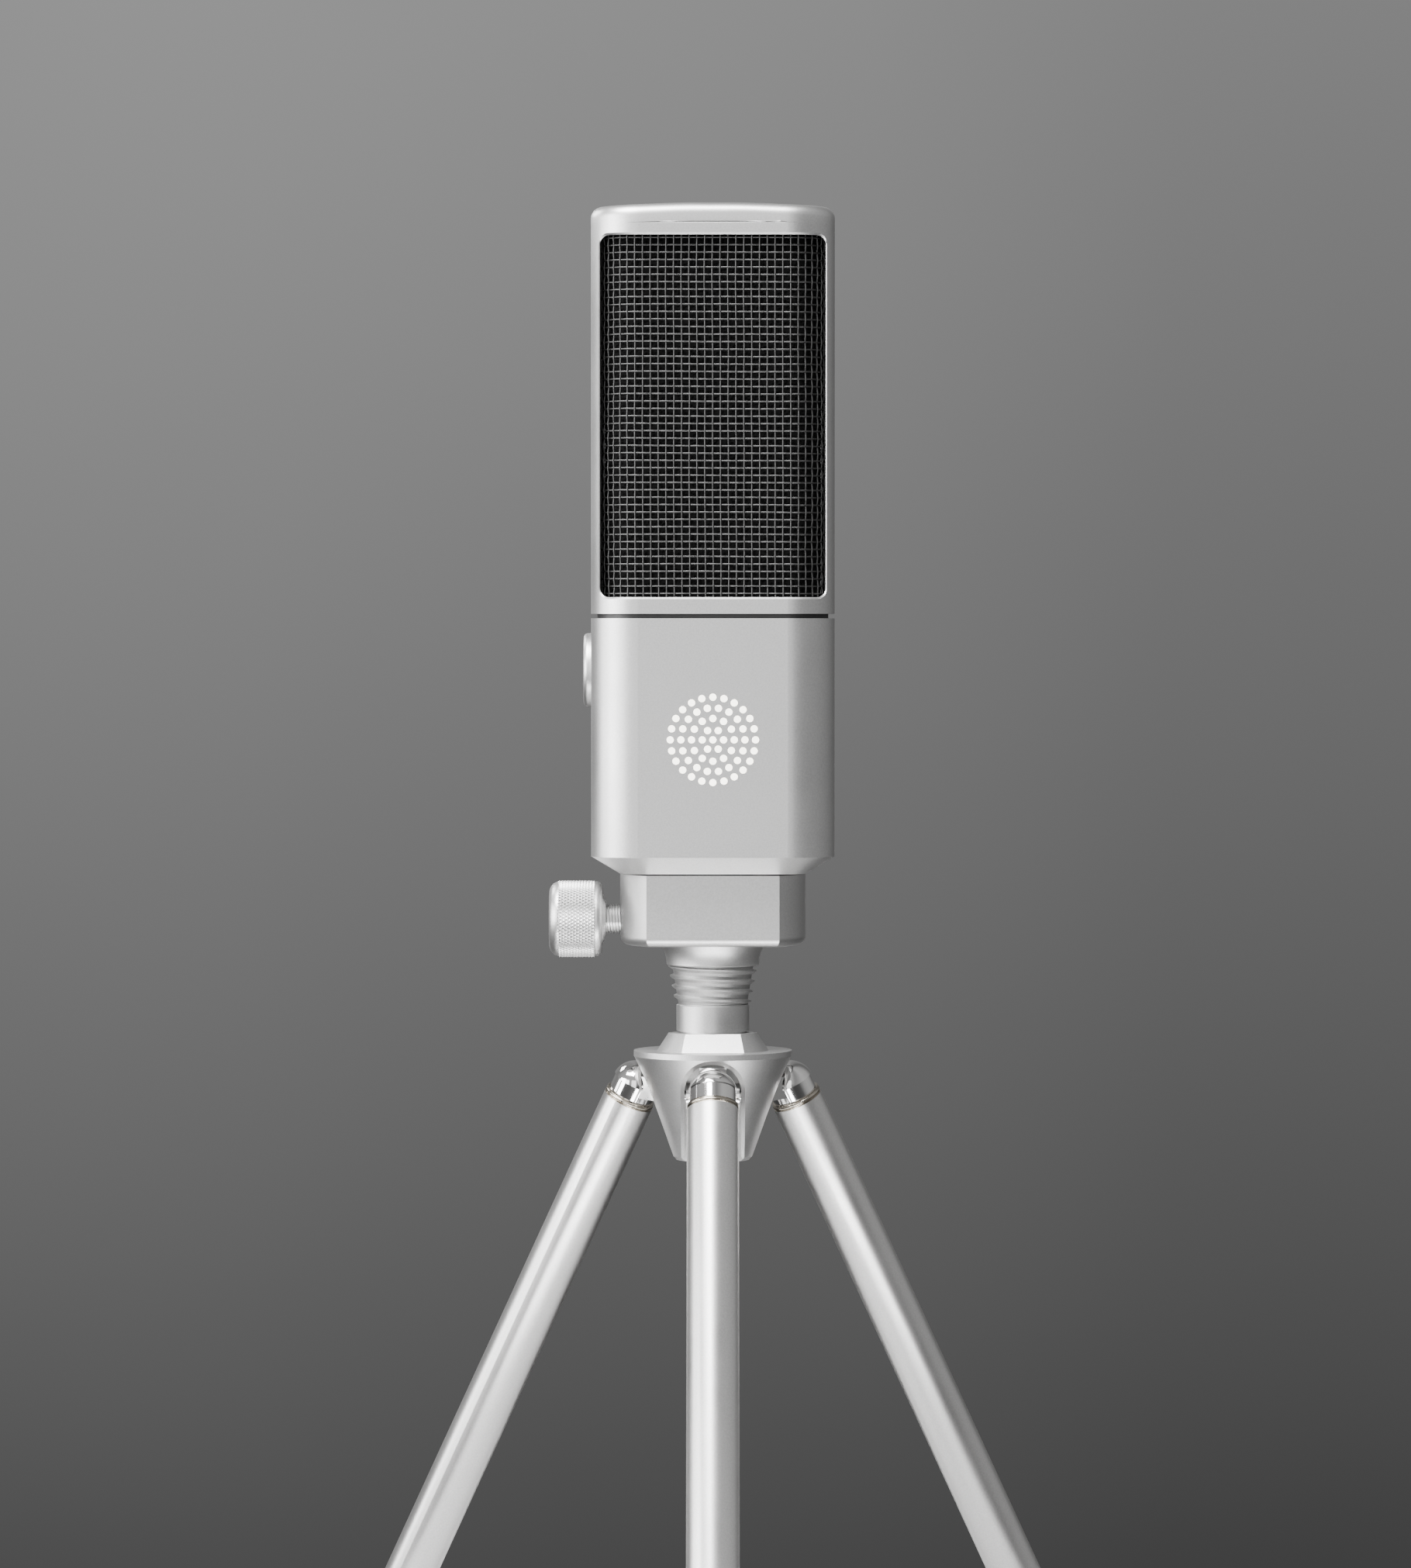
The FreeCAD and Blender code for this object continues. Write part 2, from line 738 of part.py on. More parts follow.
def make_housing():
    """The casing below the head, with its light holes, dial hole and rear sockets' holes."""
    piece = Workpiece("body_shell")
    piece.add("z", Z.housing, Z.reveal, lambda o: casing_tube(o, ZERO, S.housing_wall))
    front = -HALF_DEPTH
    inside = S.housing_wall - HALF_DEPTH

    for radius, count in light_rings():
        before = piece.volume()
        outline = Outline(piece.body, "y", front)
        bind(outline.item, "AttachmentOffset.Base.y", Z.lights)
        outline.circle(radius, ZERO, S.light_radius)
        hole = piece.body.newObject("PartDesign::Pocket", "body_shell_light")
        hole.Profile = outline.item
        bind(hole, "Length", inside - front)
        DOC.recompute()
        if count > 1:
            piece.repeat(hole, count)
        if not piece.volume() < before:
            raise RuntimeError("body_shell: a ring of lights takes nothing away")
    rim = S.dial_radius + S.dial_slip
    piece.cut("x", -HALF_WIDTH, S.housing_wall - HALF_WIDTH, lambda o: o.circle(ZERO, Z.dial, rim))
    back = HALF_DEPTH - S.housing_wall
    usb_x = S.usb_width / 2 + S.slip
    usb_z = S.usb_height / 2 + S.slip
    usb = Z.usb
    corner = usb_z - S.slip
    piece.cut("y", back, HALF_DEPTH, lambda o: o.rounded(-usb_x, usb_x, usb - usb_z, usb + usb_z, corner))
    piece.cut("y", back, HALF_DEPTH, lambda o: o.circle(ZERO, Z.jack, S.jack_radius + S.slip))


def make_lights():
    """The milky diffuser whose pips fill the light holes, and the lamp board behind it."""
    disc = S.light_pitch * LIGHT_RINGS + S.light_radius + S.diffuser_margin
    inside = S.housing_wall - HALF_DEPTH + S.slip
    piece = Workpiece("light_diffuser")
    piece.add("y", inside, inside + S.diffuser_wall, lambda o: o.circle(ZERO, Z.lights, disc))
    front = -HALF_DEPTH
    for radius, count in light_rings():
        outline = Outline(piece.body, "y", inside)
        bind(outline.item, "AttachmentOffset.Base.y", Z.lights)
        outline.circle(radius, ZERO, S.light_radius - S.slip / 2)
        pip = piece.body.newObject("PartDesign::Pad", "light_diffuser_pip")
        pip.Profile = outline.item
        bind(pip, "Length", inside - front)
        DOC.recompute()
        if count > 1:
            piece.repeat(pip, count)

    def rim(outline):
        outline.circle(ZERO, Z.lights, disc)
        outline.circle(ZERO, Z.lights, disc - S.diffuser_rim)

    wall = inside + S.diffuser_wall
    piece.add("y", wall, wall + S.diffuser_depth, rim)
    board = Workpiece("led_board")
    seat = wall + S.diffuser_depth
    board.add("y", seat, seat + S.board_wall, lambda o: o.circle(ZERO, Z.lights, disc))


def make_bottom_cap():
    """The bevelled end of the housing, bored for the spindle and its screws."""
    piece = Workpiece("bottom_cap")
    piece.add("z", Z.mic, Z.housing, lambda o: casing(o, ZERO))
    piece.chamfer(S.bevel_height, at_height(Z.mic), S.bevel_inset)
    top = Z.housing + S.spigot_length
    piece.add("z", Z.housing, top, lambda o: casing_tube(o, HOUSING_SPIGOT_INSET, S.spigot_wall))
    piece.cut("z", Z.mic, Z.housing, lambda o: o.circle(ZERO, ZERO, S.spindle_radius + S.slip))
    head_top = Z.mic + S.screw_head_depth + S.slip
    for side in (-1, 1):
        spot = CHASSIS_SCREW_X * side
        piece.cut("z", Z.mic, Z.housing, lambda o: o.circle(spot, CHASSIS_SCREW_Y, S.screw_thread + S.fixed))
        piece.cut("z", Z.mic, head_top, lambda o: o.circle(spot, CHASSIS_SCREW_Y, S.screw_head + S.slip))
    for x, y in spindle_screw_spots():
        piece.cut("z", Z.mic, Z.housing, lambda o: o.circle(x, y, S.screw_thread + S.fixed))


def spindle_screw_spots():
    """Return where the three screws of the spindle's flange stand."""
    ring = (S.spindle_radius + SPINDLE_FLANGE) / 2
    return [
        (ring * cosine(as_size(angle)), ring * sine(as_size(angle))) for angle in (30, 150, 270)
    ]


def make_spindle():
    """The steel spindle that turns in the clamp block, with a narrower foot for the clamp pad."""
    piece = Workpiece("swivel_spindle")
    end = Z.socket_floor + S.spindle_end_gap
    flange_top = Z.housing + S.spindle_flange_wall
    high = Z.clamp_screw + S.spindle_step_height / 2
    waist = S.spindle_radius - S.spindle_step
    piece.spin("y", "V_Axis", [
        (ZERO, end),
        (waist, end),
        (waist, high),
        (S.spindle_radius, high),
        (S.spindle_radius, Z.housing),
        (SPINDLE_FLANGE, Z.housing),
        (SPINDLE_FLANGE, flange_top),
        (ZERO, flange_top),
    ])
    for x, y in spindle_screw_spots():
        piece.cut("z", Z.housing, flange_top, lambda o: o.circle(x, y, S.screw_thread + S.fixed))


def make_chassis():
    """The bent bracket that ties bottom cap, boards and mid frame together."""
    piece = Workpiece("chassis")
    wall = S.chassis_wall
    front = CHASSIS_BACK - wall
    rear = CHASSIS_BACK + S.chassis_reach
    low = Z.housing
    high = Z.reveal
    half = CHASSIS_HALF
    piece.add("x", -half, half, lambda o: o.polygon([
        (front, low),
        (rear, low),
        (rear, low + wall),
        (CHASSIS_BACK, low + wall),
        (CHASSIS_BACK, high - wall),
        (rear, high - wall),
        (rear, high),
        (front, high),
    ]))
    clearing = SPINDLE_FLANGE + S.slip
    piece.cut("z", low, low + wall, lambda o: o.circle(ZERO, ZERO, clearing))
    chord = square_root(clearing * clearing - front * front)
    heads = low + S.spindle_flange_wall + S.screw_head_depth + S.slip
    piece.cut("y", front, CHASSIS_BACK, lambda o: o.box(-chord, chord, low - S.slip, heads))
    piece.cut("z", high - wall, high, lambda o: o.circle(ZERO, LEAD_Y, S.lead_radius + S.slip))
    bore = S.screw_thread + S.fixed
    for side in (-1, 1):
        spot = CHASSIS_SCREW_X * side
        for foot in (low, high - wall):
            piece.cut("z", foot, foot + wall, lambda o: o.circle(spot, CHASSIS_SCREW_Y, bore))
    seat = CHASSIS_BACK + S.standoff_length
    for x, z in board_screw_spots():
        piece.add("y", CHASSIS_BACK, seat, lambda o: o.circle(x, z, S.standoff_radius))
        piece.cut("y", front, seat, lambda o: o.circle(x, z, bore))


def board_screw_spots():
    """Return x and height of the four screws of the main board."""
    half = BOARD_HALF - S.board_inset
    low = BOARD_LOW + S.board_inset
    high = BOARD_HIGH - S.board_inset
    return [(-half, low), (half, low), (-half, high), (half, high)]


def make_main_board():
    """The main board and the two sockets that face the rear."""
    seat = BOARD_SEAT
    face = BOARD_FACE
    board = Workpiece("main_board")
    board.add("y", seat, face, lambda o: o.box(-BOARD_HALF, BOARD_HALF, BOARD_LOW, BOARD_HIGH))
    for x, z in board_screw_spots():
        board.cut("y", seat, face, lambda o: o.circle(x, z, S.screw_thread + S.fixed))

    usb = Z.usb
    outside = HALF_DEPTH - S.socket_setback
    wide = S.usb_width / 2
    tall = S.usb_height / 2
    socket = Workpiece("usb_socket")
    socket.add("y", face, outside, lambda o: o.rounded(-wide, wide, usb - tall, usb + tall, tall - S.slip))
    inner_x = wide - S.usb_skin
    inner_z = tall - S.usb_skin
    floor = face + S.socket_setback * 4
    end = inner_z - S.slip
    socket.cut("y", floor, outside, lambda o: o.rounded(-inner_x, inner_x, usb - inner_z, usb + inner_z, end))
    tongue_x = inner_x - S.usb_skin * 3
    tongue_z = S.usb_skin
    tip = outside - S.socket_setback
    socket.add("y", floor, tip, lambda o: o.box(-tongue_x, tongue_x, usb - tongue_z, usb + tongue_z))

    jack = Workpiece("headphone_jack")
    jack.add("y", face, HALF_DEPTH, lambda o: o.circle(ZERO, Z.jack, S.jack_radius))
    floor = face + S.jack_floor
    jack.cut("y", floor, HALF_DEPTH, lambda o: o.circle(ZERO, Z.jack, S.jack_bore))


def make_primitive(kind, name, sizes, place):
    """Make one Part primitive bound to the sheet."""
    item = DOC.addObject("Part::" + kind, name)
    for path, size in sizes.items():
        bind(item, path, size)
    item.setExpression("Placement", place)
    return item


def make_group(name, items):
    """Join separate, alike solids into one node."""
    group = DOC.addObject("Part::Compound", name)
    group.Links = items
    register(group, name)


UP = "rotation(vector(0; 0; 1); 0)"
TO_REAR = "rotation(vector(1; 0; 0); -90)"
TO_RIGHT = "rotation(vector(0; 1; 0); 90)"
DOWN = "rotation(vector(1; 0; 0); 180)"


def make_screw(name, x, y, z, turn):
    """A cap screw whose shank leaves the underside of its head at x, y, z."""
    place = placement(x, y, z, turn)
    shank = make_primitive(
        "Cylinder", name + "_shank", {"Radius": S.screw_thread, "Height": S.screw_length}, place
    )
    sunk = "%s * placement(vector(0; 0; 0 - %s); %s)" % (place, S.screw_head_depth.text, UP)
    head = make_primitive(
        "Cylinder", name + "_head", {"Radius": S.screw_head, "Height": S.screw_head_depth}, sunk
    )
    screw = DOC.addObject("Part::MultiFuse", name)
    screw.Shapes = [shank, head]
    return screw


def make_inner_screws():
    """The screws inside the housing, one node for each place they are used."""
    bottom = []
    upper = []
    for side in (-1, 1):
        x = CHASSIS_SCREW_X * side
        y = CHASSIS_SCREW_Y
        bottom.append(make_screw("bottom_screw", x, y, Z.mic + S.screw_head_depth, UP))
        upper.append(make_screw("frame_screw", x, y, Z.reveal - S.chassis_wall, UP))
    make_group("bottom_cap_screws", bottom)
    make_group("mid_frame_screws", upper)
    flange_top = Z.housing + S.spindle_flange_wall
    spindle = [make_screw("spindle_screw", x, y, flange_top, DOWN) for x, y in spindle_screw_spots()]
    make_group("spindle_screws", spindle)
    turn = "rotation(vector(1; 0; 0); 90)"
    board = [make_screw("board_screw", x, BOARD_FACE, z, turn) for x, z in board_screw_spots()]
    make_group("board_screws", board)


def make_board_components():
    """Processor, converter and two capacitors on the rear of the main board."""
    chip_low = Z.housing + S.chip_rise
    chips = (
        ("processor", S.processor_side, S.processor_wall, -S.processor_side - S.chip_spacing),
        ("converter", S.converter_side, S.converter_wall, S.chip_spacing),
    )
    items = []
    for name, side, wall, x in chips:
        sizes = {"Length": side, "Width": wall, "Height": side}
        items.append(make_primitive("Box", name, sizes, placement(x, BOARD_FACE, chip_low)))
    for name, x in (("left_capacitor", -S.capacitor_offset), ("right_capacitor", S.capacitor_offset)):
        sizes = {"Radius": S.capacitor_radius, "Height": S.capacitor_length}
        place = placement(x, BOARD_FACE, Z.housing + S.capacitor_rise, TO_REAR)
        items.append(make_primitive("Cylinder", name, sizes, place))
    make_group("board_components", items)


# ---------------------------------------------------------------- dial
def make_dial():
    """The side dial with its shaft, the encoder it turns, and the encoder's board."""
    dial = Workpiece("dial_cap")
    dial.add("x", DIAL_FACE, DIAL_BACK, lambda o: o.circle(ZERO, Z.dial, S.dial_radius))

    def rim(edge):
        box = edge.BoundBox
        return box.XLength < 1e-4 and abs(box.XMin - DIAL_FACE.value) < 1e-3

    dial.fillet(S.dial_round, rim)
    hollow = DIAL_DEPTH / 2
    seat = S.shaft_radius + S.fixed
    dial.cut("x", DIAL_BACK - hollow, DIAL_BACK, lambda o: o.circle(ZERO, Z.dial, seat))

    shaft = Workpiece("encoder_shaft")
    shaft_end = ENCODER_BACK - S.dial_travel - S.slip
    shaft.add("x", DIAL_BACK - hollow, shaft_end, lambda o: o.circle(ZERO, Z.dial, S.shaft_radius))

    hole = S.shaft_radius + S.running
    rotor = Workpiece("encoder_rotor")
    rotor_low = ENCODER_BACK - S.rotor_wall - S.dial_travel - S.slip * 2

    def ring(outline):
        outline.circle(ZERO, Z.dial, S.rotor_radius)
        outline.circle(ZERO, Z.dial, hole)

    rotor.add("x", rotor_low, rotor_low + S.rotor_wall, ring)

    half = S.encoder_size / 2
    body = Workpiece("encoder_body")
    body.add("x", ENCODER_FACE, ENCODER_BACK, lambda o: o.box(-half, half, Z.dial - half, Z.dial + half))
    body.cut("x", ENCODER_FACE, ENCODER_BACK, lambda o: o.circle(ZERO, Z.dial, hole))
    chamber = rotor_low - S.running
    body.cut("x", chamber, ENCODER_BACK, lambda o: o.circle(ZERO, Z.dial, S.rotor_radius + S.running))

    board = Workpiece("encoder_board")
    wide = half + S.encoder_board_rim
    board.add(
        "x", ENCODER_BACK, ENCODER_BACK + S.board_wall,
        lambda o: o.box(-wide, CHASSIS_BACK - S.chassis_wall, Z.dial - wide, Z.dial + wide),
    )


# ---------------------------------------------------------------- clamp
BLOCK_RADIUS = S.spindle_radius + S.block_side_wall
BLOCK_FLAT = S.spindle_radius + S.block_flat_wall
KNOB_FACE = -BLOCK_RADIUS - S.knob_stand
KNOB_BACK = KNOB_FACE + S.knob_width
SPINDLE_FOOT = S.spindle_radius - S.spindle_step
PAD_FACE = -SPINDLE_FOOT - S.pad_gap
PAD_BACK = PAD_FACE - S.pad_wall
SCREW_BORE = S.clamp_screw_radius + S.running


def make_block():
    """The clamp block: a puck with flats, a socket for the spindle and a bore for the screw."""
    piece = Workpiece("clamp_block")
    piece.add("z", Z.block, Z.block_top, lambda o: o.circle(ZERO, ZERO, BLOCK_RADIUS))
    reach = BLOCK_RADIUS * 2
    for near, far in ((BLOCK_FLAT, reach), (-reach, -BLOCK_FLAT)):
        piece.cut("z", Z.block, Z.block_top, lambda o: o.box(-reach, reach, near, far))
    piece.fillet(S.block_edge, at_height(Z.block))
    piece.cut("z", Z.socket_floor, Z.block_top, lambda o: o.circle(ZERO, ZERO, S.spindle_radius + S.running))
    piece.cut("x", -BLOCK_RADIUS, ZERO, lambda o: o.circle(ZERO, Z.clamp_screw, SCREW_BORE))
    head = S.block_screw_head + S.fixed
    hole = S.block_screw_radius + S.fixed
    piece.groove("y", "V_Axis", [
        (ZERO, Z.block),
        (hole, Z.block),
        (hole, Z.socket_floor - (head - hole)),
        (head, Z.socket_floor),
        (ZERO, Z.socket_floor),
    ])

    washer = Workpiece("swivel_washer")

    def ring(outline):
        outline.circle(ZERO, ZERO, S.spindle_radius + S.washer_rim)
        outline.circle(ZERO, ZERO, S.spindle_radius + S.slip)

    washer.add("z", Z.block_top, Z.block_top + S.washer_wall, ring)

    screw = Workpiece("block_screw")
    foot = Z.block - S.block_screw_length
    cone = Z.socket_floor - (S.block_screw_head - S.block_screw_radius)
    screw.spin("y", "V_Axis", [
        (ZERO, foot),
        (S.block_screw_radius, foot),
        (S.block_screw_radius, cone),
        (S.block_screw_head, Z.socket_floor),
        (ZERO, Z.socket_floor),
    ])


def make_thumbscrew():
    """Knob and threaded shank, which turn together, and the pad on the shank's tip."""
    level = "placement(vector(0; 0; %s); rotation(vector(0; 0; 1); 0))" % Z.clamp_screw.text
    round_edge = S.knob_round
    rim = S.knob_radius
    neck = S.clamp_screw_radius + S.slip * 4
    knob = Workpiece("thumbscrew_knob")
    knob.spin("y", "H_Axis", [
        (KNOB_FACE, ZERO),
        (KNOB_FACE, rim),
        (KNOB_BACK, rim),
        (KNOB_BACK + S.knob_shoulder, neck),
        (KNOB_BACK + S.knob_shoulder, ZERO),
    ])

    def outer_rim(edge):
        box = edge.BoundBox
        return box.XLength < 1e-4 and abs(box.XMin - KNOB_FACE.value) < 1e-3

    def inner_rim(edge):
        box = edge.BoundBox
        return box.XLength < 1e-4 and abs(box.XMin - KNOB_BACK.value) < 1e-3

    knob.fillet(round_edge, outer_rim)
    knob.fillet(S.knob_inner_round, inner_rim)
    seat = S.clamp_screw_radius + S.fixed
    socket_end = KNOB_BACK + S.knob_shoulder - S.knob_socket
    knob.cut("x", socket_end, KNOB_BACK + S.knob_shoulder, lambda o: o.circle(ZERO, ZERO, seat))
    knob.place(level)

    shank = Workpiece("thumbscrew_shank")
    tip = PAD_BACK - S.pad_gap
    shank.add("x", socket_end, tip, lambda o: o.circle(ZERO, ZERO, S.clamp_screw_radius))
    hole = S.pad_stem_radius + S.running
    depth = S.pad_stem_length + S.pad_gap
    shank.cut("x", tip - depth, tip, lambda o: o.circle(ZERO, ZERO, hole))
    shank.place(level)

    pad = Workpiece("clamp_pad")
    pad.spin("y", "H_Axis", [
        (PAD_FACE, ZERO),
        (PAD_FACE, S.pad_radius),
        (PAD_BACK, S.pad_radius),
        (PAD_BACK, S.pad_stem_radius),
        (PAD_BACK - S.pad_stem_length, S.pad_stem_radius),
        (PAD_BACK - S.pad_stem_length, ZERO),
    ])
    pad.place(level)


# ---------------------------------------------------------------- column
def make_column():
    """Neck with its coarse ridges, plain collar, and the stud and nut that draw them together."""
    stem = Workpiece("neck_stem")
    ridges = int(S.thread_ridges.value)
    points = [(ZERO, Z.stem)]
    pitch = S.thread_length / S.thread_ridges
    taper = (S.thread_top_radius - S.thread_foot_radius) / S.thread_ridges
    for ridge in range(ridges):
        low = Z.stem + pitch * ridge
        root = S.thread_foot_radius + taper * ridge - S.thread_depth
        crest = S.thread_foot_radius + taper * (ridge + 1)
        points.append((root, low))
        points.append((root, low + pitch * 0.3))
        points.append((crest, low + pitch * 0.75))
        points.append((crest, low + pitch * 0.95))
    root = S.thread_top_radius - S.thread_depth
    points.append((root, Z.neck))
    points.append((S.neck_foot_radius, Z.neck))
    points.append((S.neck_top_radius, Z.block))
    points.append((ZERO, Z.block))
    stem.spin("y", "V_Axis", points)
    bore = S.stud_radius + S.fixed
    stud_top = Z.stem + S.stud_inside_neck
    stem.cut("z", Z.stem, stud_top + S.slip, lambda o: o.circle(ZERO, ZERO, bore))
    foot = Z.block - S.block_screw_length - S.slip
    stem.cut("z", foot, Z.block, lambda o: o.circle(ZERO, ZERO, S.block_screw_radius + S.fixed))

    collar = Workpiece("lock_collar")
    collar.spin("y", "V_Axis", [
        (bore, Z.hub_top),
        (S.collar_foot_radius, Z.hub_top),
        (S.collar_foot_radius, Z.hub_top + S.collar_foot),
        (S.collar_radius, Z.hub_top + S.collar_foot),
        (S.collar_radius, Z.stem - S.slip * 2),
        (S.collar_radius - S.slip * 2, Z.stem),
        (bore, Z.stem),
    ])

    core_foot = Z.hinge - S.core_drop
    stud = Workpiece("mount_stud")
    stud_foot = core_foot - S.nut_height
    stud.add("z", stud_foot, stud_top, lambda o: o.circle(ZERO, ZERO, S.stud_radius))
    nut = Workpiece("stud_nut")

    def hexagon(outline):
        corners = []
        for number in range(6):
            angle = as_size(60.0 * number + 30.0)
            corners.append((S.nut_across * cosine(angle), S.nut_across * sine(angle)))
        outline.polygon(corners)
        outline.circle(ZERO, ZERO, bore)

    nut.add("z", core_foot - S.nut_height, core_foot, hexagon)


# ---------------------------------------------------------------- tripod
EAR_FOOT_RADIUS = SLOT_HALF + S.ear_foot_wall
EAR_WAIST_RADIUS = SLOT_HALF + S.ear_waist_wall
FLANGE_RADIUS = SLOT_HALF + S.flange_side_wall
PIN_HALF = SLOT_HALF + S.pin_bite
DOME_RADIUS = S.tube_radius - S.dome_setback
FOOT_RADIUS = S.tube_radius + S.foot_wall
FLARE_STEPS = 6


def turned(number):
    """Return the rotation that carries the front leg's slot to another leg's."""
    return "rotation(vector(0; 0; 1); 360 / Sizes.leg_count * %d)" % number


def slot_mouth(edge):
    """Return whether an edge lies where a slot's side or arch comes out through the hub's skin."""
    spot = edge.valueAt((edge.FirstParameter + edge.LastParameter) / 2)
    radius = math.hypot(spot.x, spot.y)
    if radius < EAR_FOOT_RADIUS.value - 1e-3 or spot.z < Z.ear_foot.value + 1e-3:
        return False
    step = 2 * math.pi / S.leg_count.value
    around = (math.atan2(spot.x, -spot.y) + step / 2) % step - step / 2
    aside = abs(radius * math.sin(around))
    if spot.z < Z.hinge.value:
        return abs(aside - SLOT_HALF.value) < 1e-3
    return abs(math.hypot(aside, spot.z - Z.hinge.value) - SLOT_HALF.value) < 1e-3


def make_hub():
    """The hub: a cone and flange with three arched slots, the ears between them, and a core."""
    piece = Workpiece("tripod_hub")
    core_foot = Z.hinge - S.core_drop
    flare_foot = (EAR_FOOT_RADIUS, Z.ear_foot + S.ear_toe)
    flare_waist = (EAR_WAIST_RADIUS, Z.hinge - S.ear_waist_drop)
    flare_top = (FLANGE_RADIUS, Z.flange + S.flange_wall / 2)
    flare = []
    for step in range(FLARE_STEPS + 1):
        up = step / FLARE_STEPS
        shares = ((1 - up) ** 2, 2 * up * (1 - up), up ** 2)
        flare.append(tuple(
            foot * shares[0] + middle * shares[1] + top * shares[2]
            for foot, middle, top in zip(flare_foot, flare_waist, flare_top)
        ))
    piece.spin("y", "V_Axis", [
        (ZERO, Z.ear_foot),
        (EAR_FOOT_RADIUS - S.ear_toe, Z.ear_foot),
        *flare,
        (FLANGE_RADIUS, Z.shoulder),
        (S.hub_shoulder_radius, Z.shoulder),
        (S.hub_top_radius, Z.hub_top),
        (ZERO, Z.hub_top),
    ])
    beyond = S.hub_shoulder_radius + S.hub_facet_inset
    outline = Outline(piece.body, "x", beyond)
    outline.polygon([
        (S.hub_facet_inset - S.hub_top_radius, Z.hub_top),
        (S.hub_facet_inset - S.hub_shoulder_radius, Z.shoulder),
        (-beyond, Z.shoulder),
        (-beyond, Z.hub_top),
    ])
    before = piece.volume()
    facet = piece.body.newObject("PartDesign::Pocket", "tripod_hub_facet")
    facet.Profile = outline.item
    bind(facet, "Length", beyond * 2)
    DOC.recompute()
    piece.repeat(facet, S.leg_count, upright=True)
    if not piece.volume() < before:
        raise RuntimeError("tripod_hub: the facets take nothing away")
    half = SLOT_HALF
    count = int(S.leg_count.value)
    outline = Outline(piece.body, "y", -S.slot_floor)
    item = outline.item
    h = half.value
    top = Z.hinge.value
    foot = Z.ear_foot - S.slip
    low = foot.value
    item.addGeometry(Part.LineSegment(Vector(-h, low, 0), Vector(h, low, 0)), False)
    item.addGeometry(Part.LineSegment(Vector(h, low, 0), Vector(h, top, 0)), False)
    arch = Part.Circle(Vector(0, top, 0), Vector(0, 0, 1), h)
    item.addGeometry(Part.ArcOfCircle(arch, 0, math.pi), False)
    item.addGeometry(Part.LineSegment(Vector(-h, top, 0), Vector(-h, low, 0)), False)
    item.addConstraint(Sketcher.Constraint("Coincident", 0, 2, 1, 1))
    item.addConstraint(Sketcher.Constraint("Tangent", 1, 2, 2, 1))
    item.addConstraint(Sketcher.Constraint("Tangent", 2, 2, 3, 1))
    item.addConstraint(Sketcher.Constraint("Coincident", 3, 2, 0, 1))
    outline.pin(0, 1, -half, foot)
    outline.pin(0, 2, half, foot)
    outline.pin(2, 3, ZERO, Z.hinge)
    before = piece.volume()
    slot = piece.body.newObject("PartDesign::Pocket", "tripod_hub_slot")
    slot.Profile = item
    slot.Reversed = True
    bind(slot, "Length", FLANGE_RADIUS)
    DOC.recompute()
    piece.repeat(slot, S.leg_count, upright=True)
    if not piece.volume() < before:
        raise RuntimeError("tripod_hub: the slots take nothing away")
    piece.chamfer(S.slot_lip, slot_mouth)
    piece.cut("z", Z.ear_foot, core_foot, lambda o: o.circle(ZERO, ZERO, S.slot_floor + S.slip * 5))
    piece.cut("z", core_foot, Z.hub_top, lambda o: o.circle(ZERO, ZERO, S.stud_radius + S.fixed))
    outline = Outline(piece.body, "x", PIN_HALF + S.fixed)
    outline.circle(-S.pin_reach, Z.pin, S.pin_radius + S.fixed)
    before = piece.volume()
    hole = piece.body.newObject("PartDesign::Pocket", "tripod_hub_pin_hole")
    hole.Profile = outline.item
    bind(hole, "Length", (PIN_HALF + S.fixed) * 2)
    DOC.recompute()
    piece.repeat(hole, S.leg_count, upright=True)
    if not piece.volume() < before:
        raise RuntimeError("tripod_hub: the pin holes take nothing away")

    pins = []
    for number in range(count):
        centre = placement(-PIN_HALF, -S.pin_reach, Z.pin, TO_RIGHT)
        place = "placement(vector(0; 0; 0); %s) * %s" % (turned(number), centre)
        sizes = {"Radius": S.pin_radius, "Height": PIN_HALF * 2}
        pins.append(make_primitive("Cylinder", "hinge_pin", sizes, place))
    make_group("hinge_pins", pins)


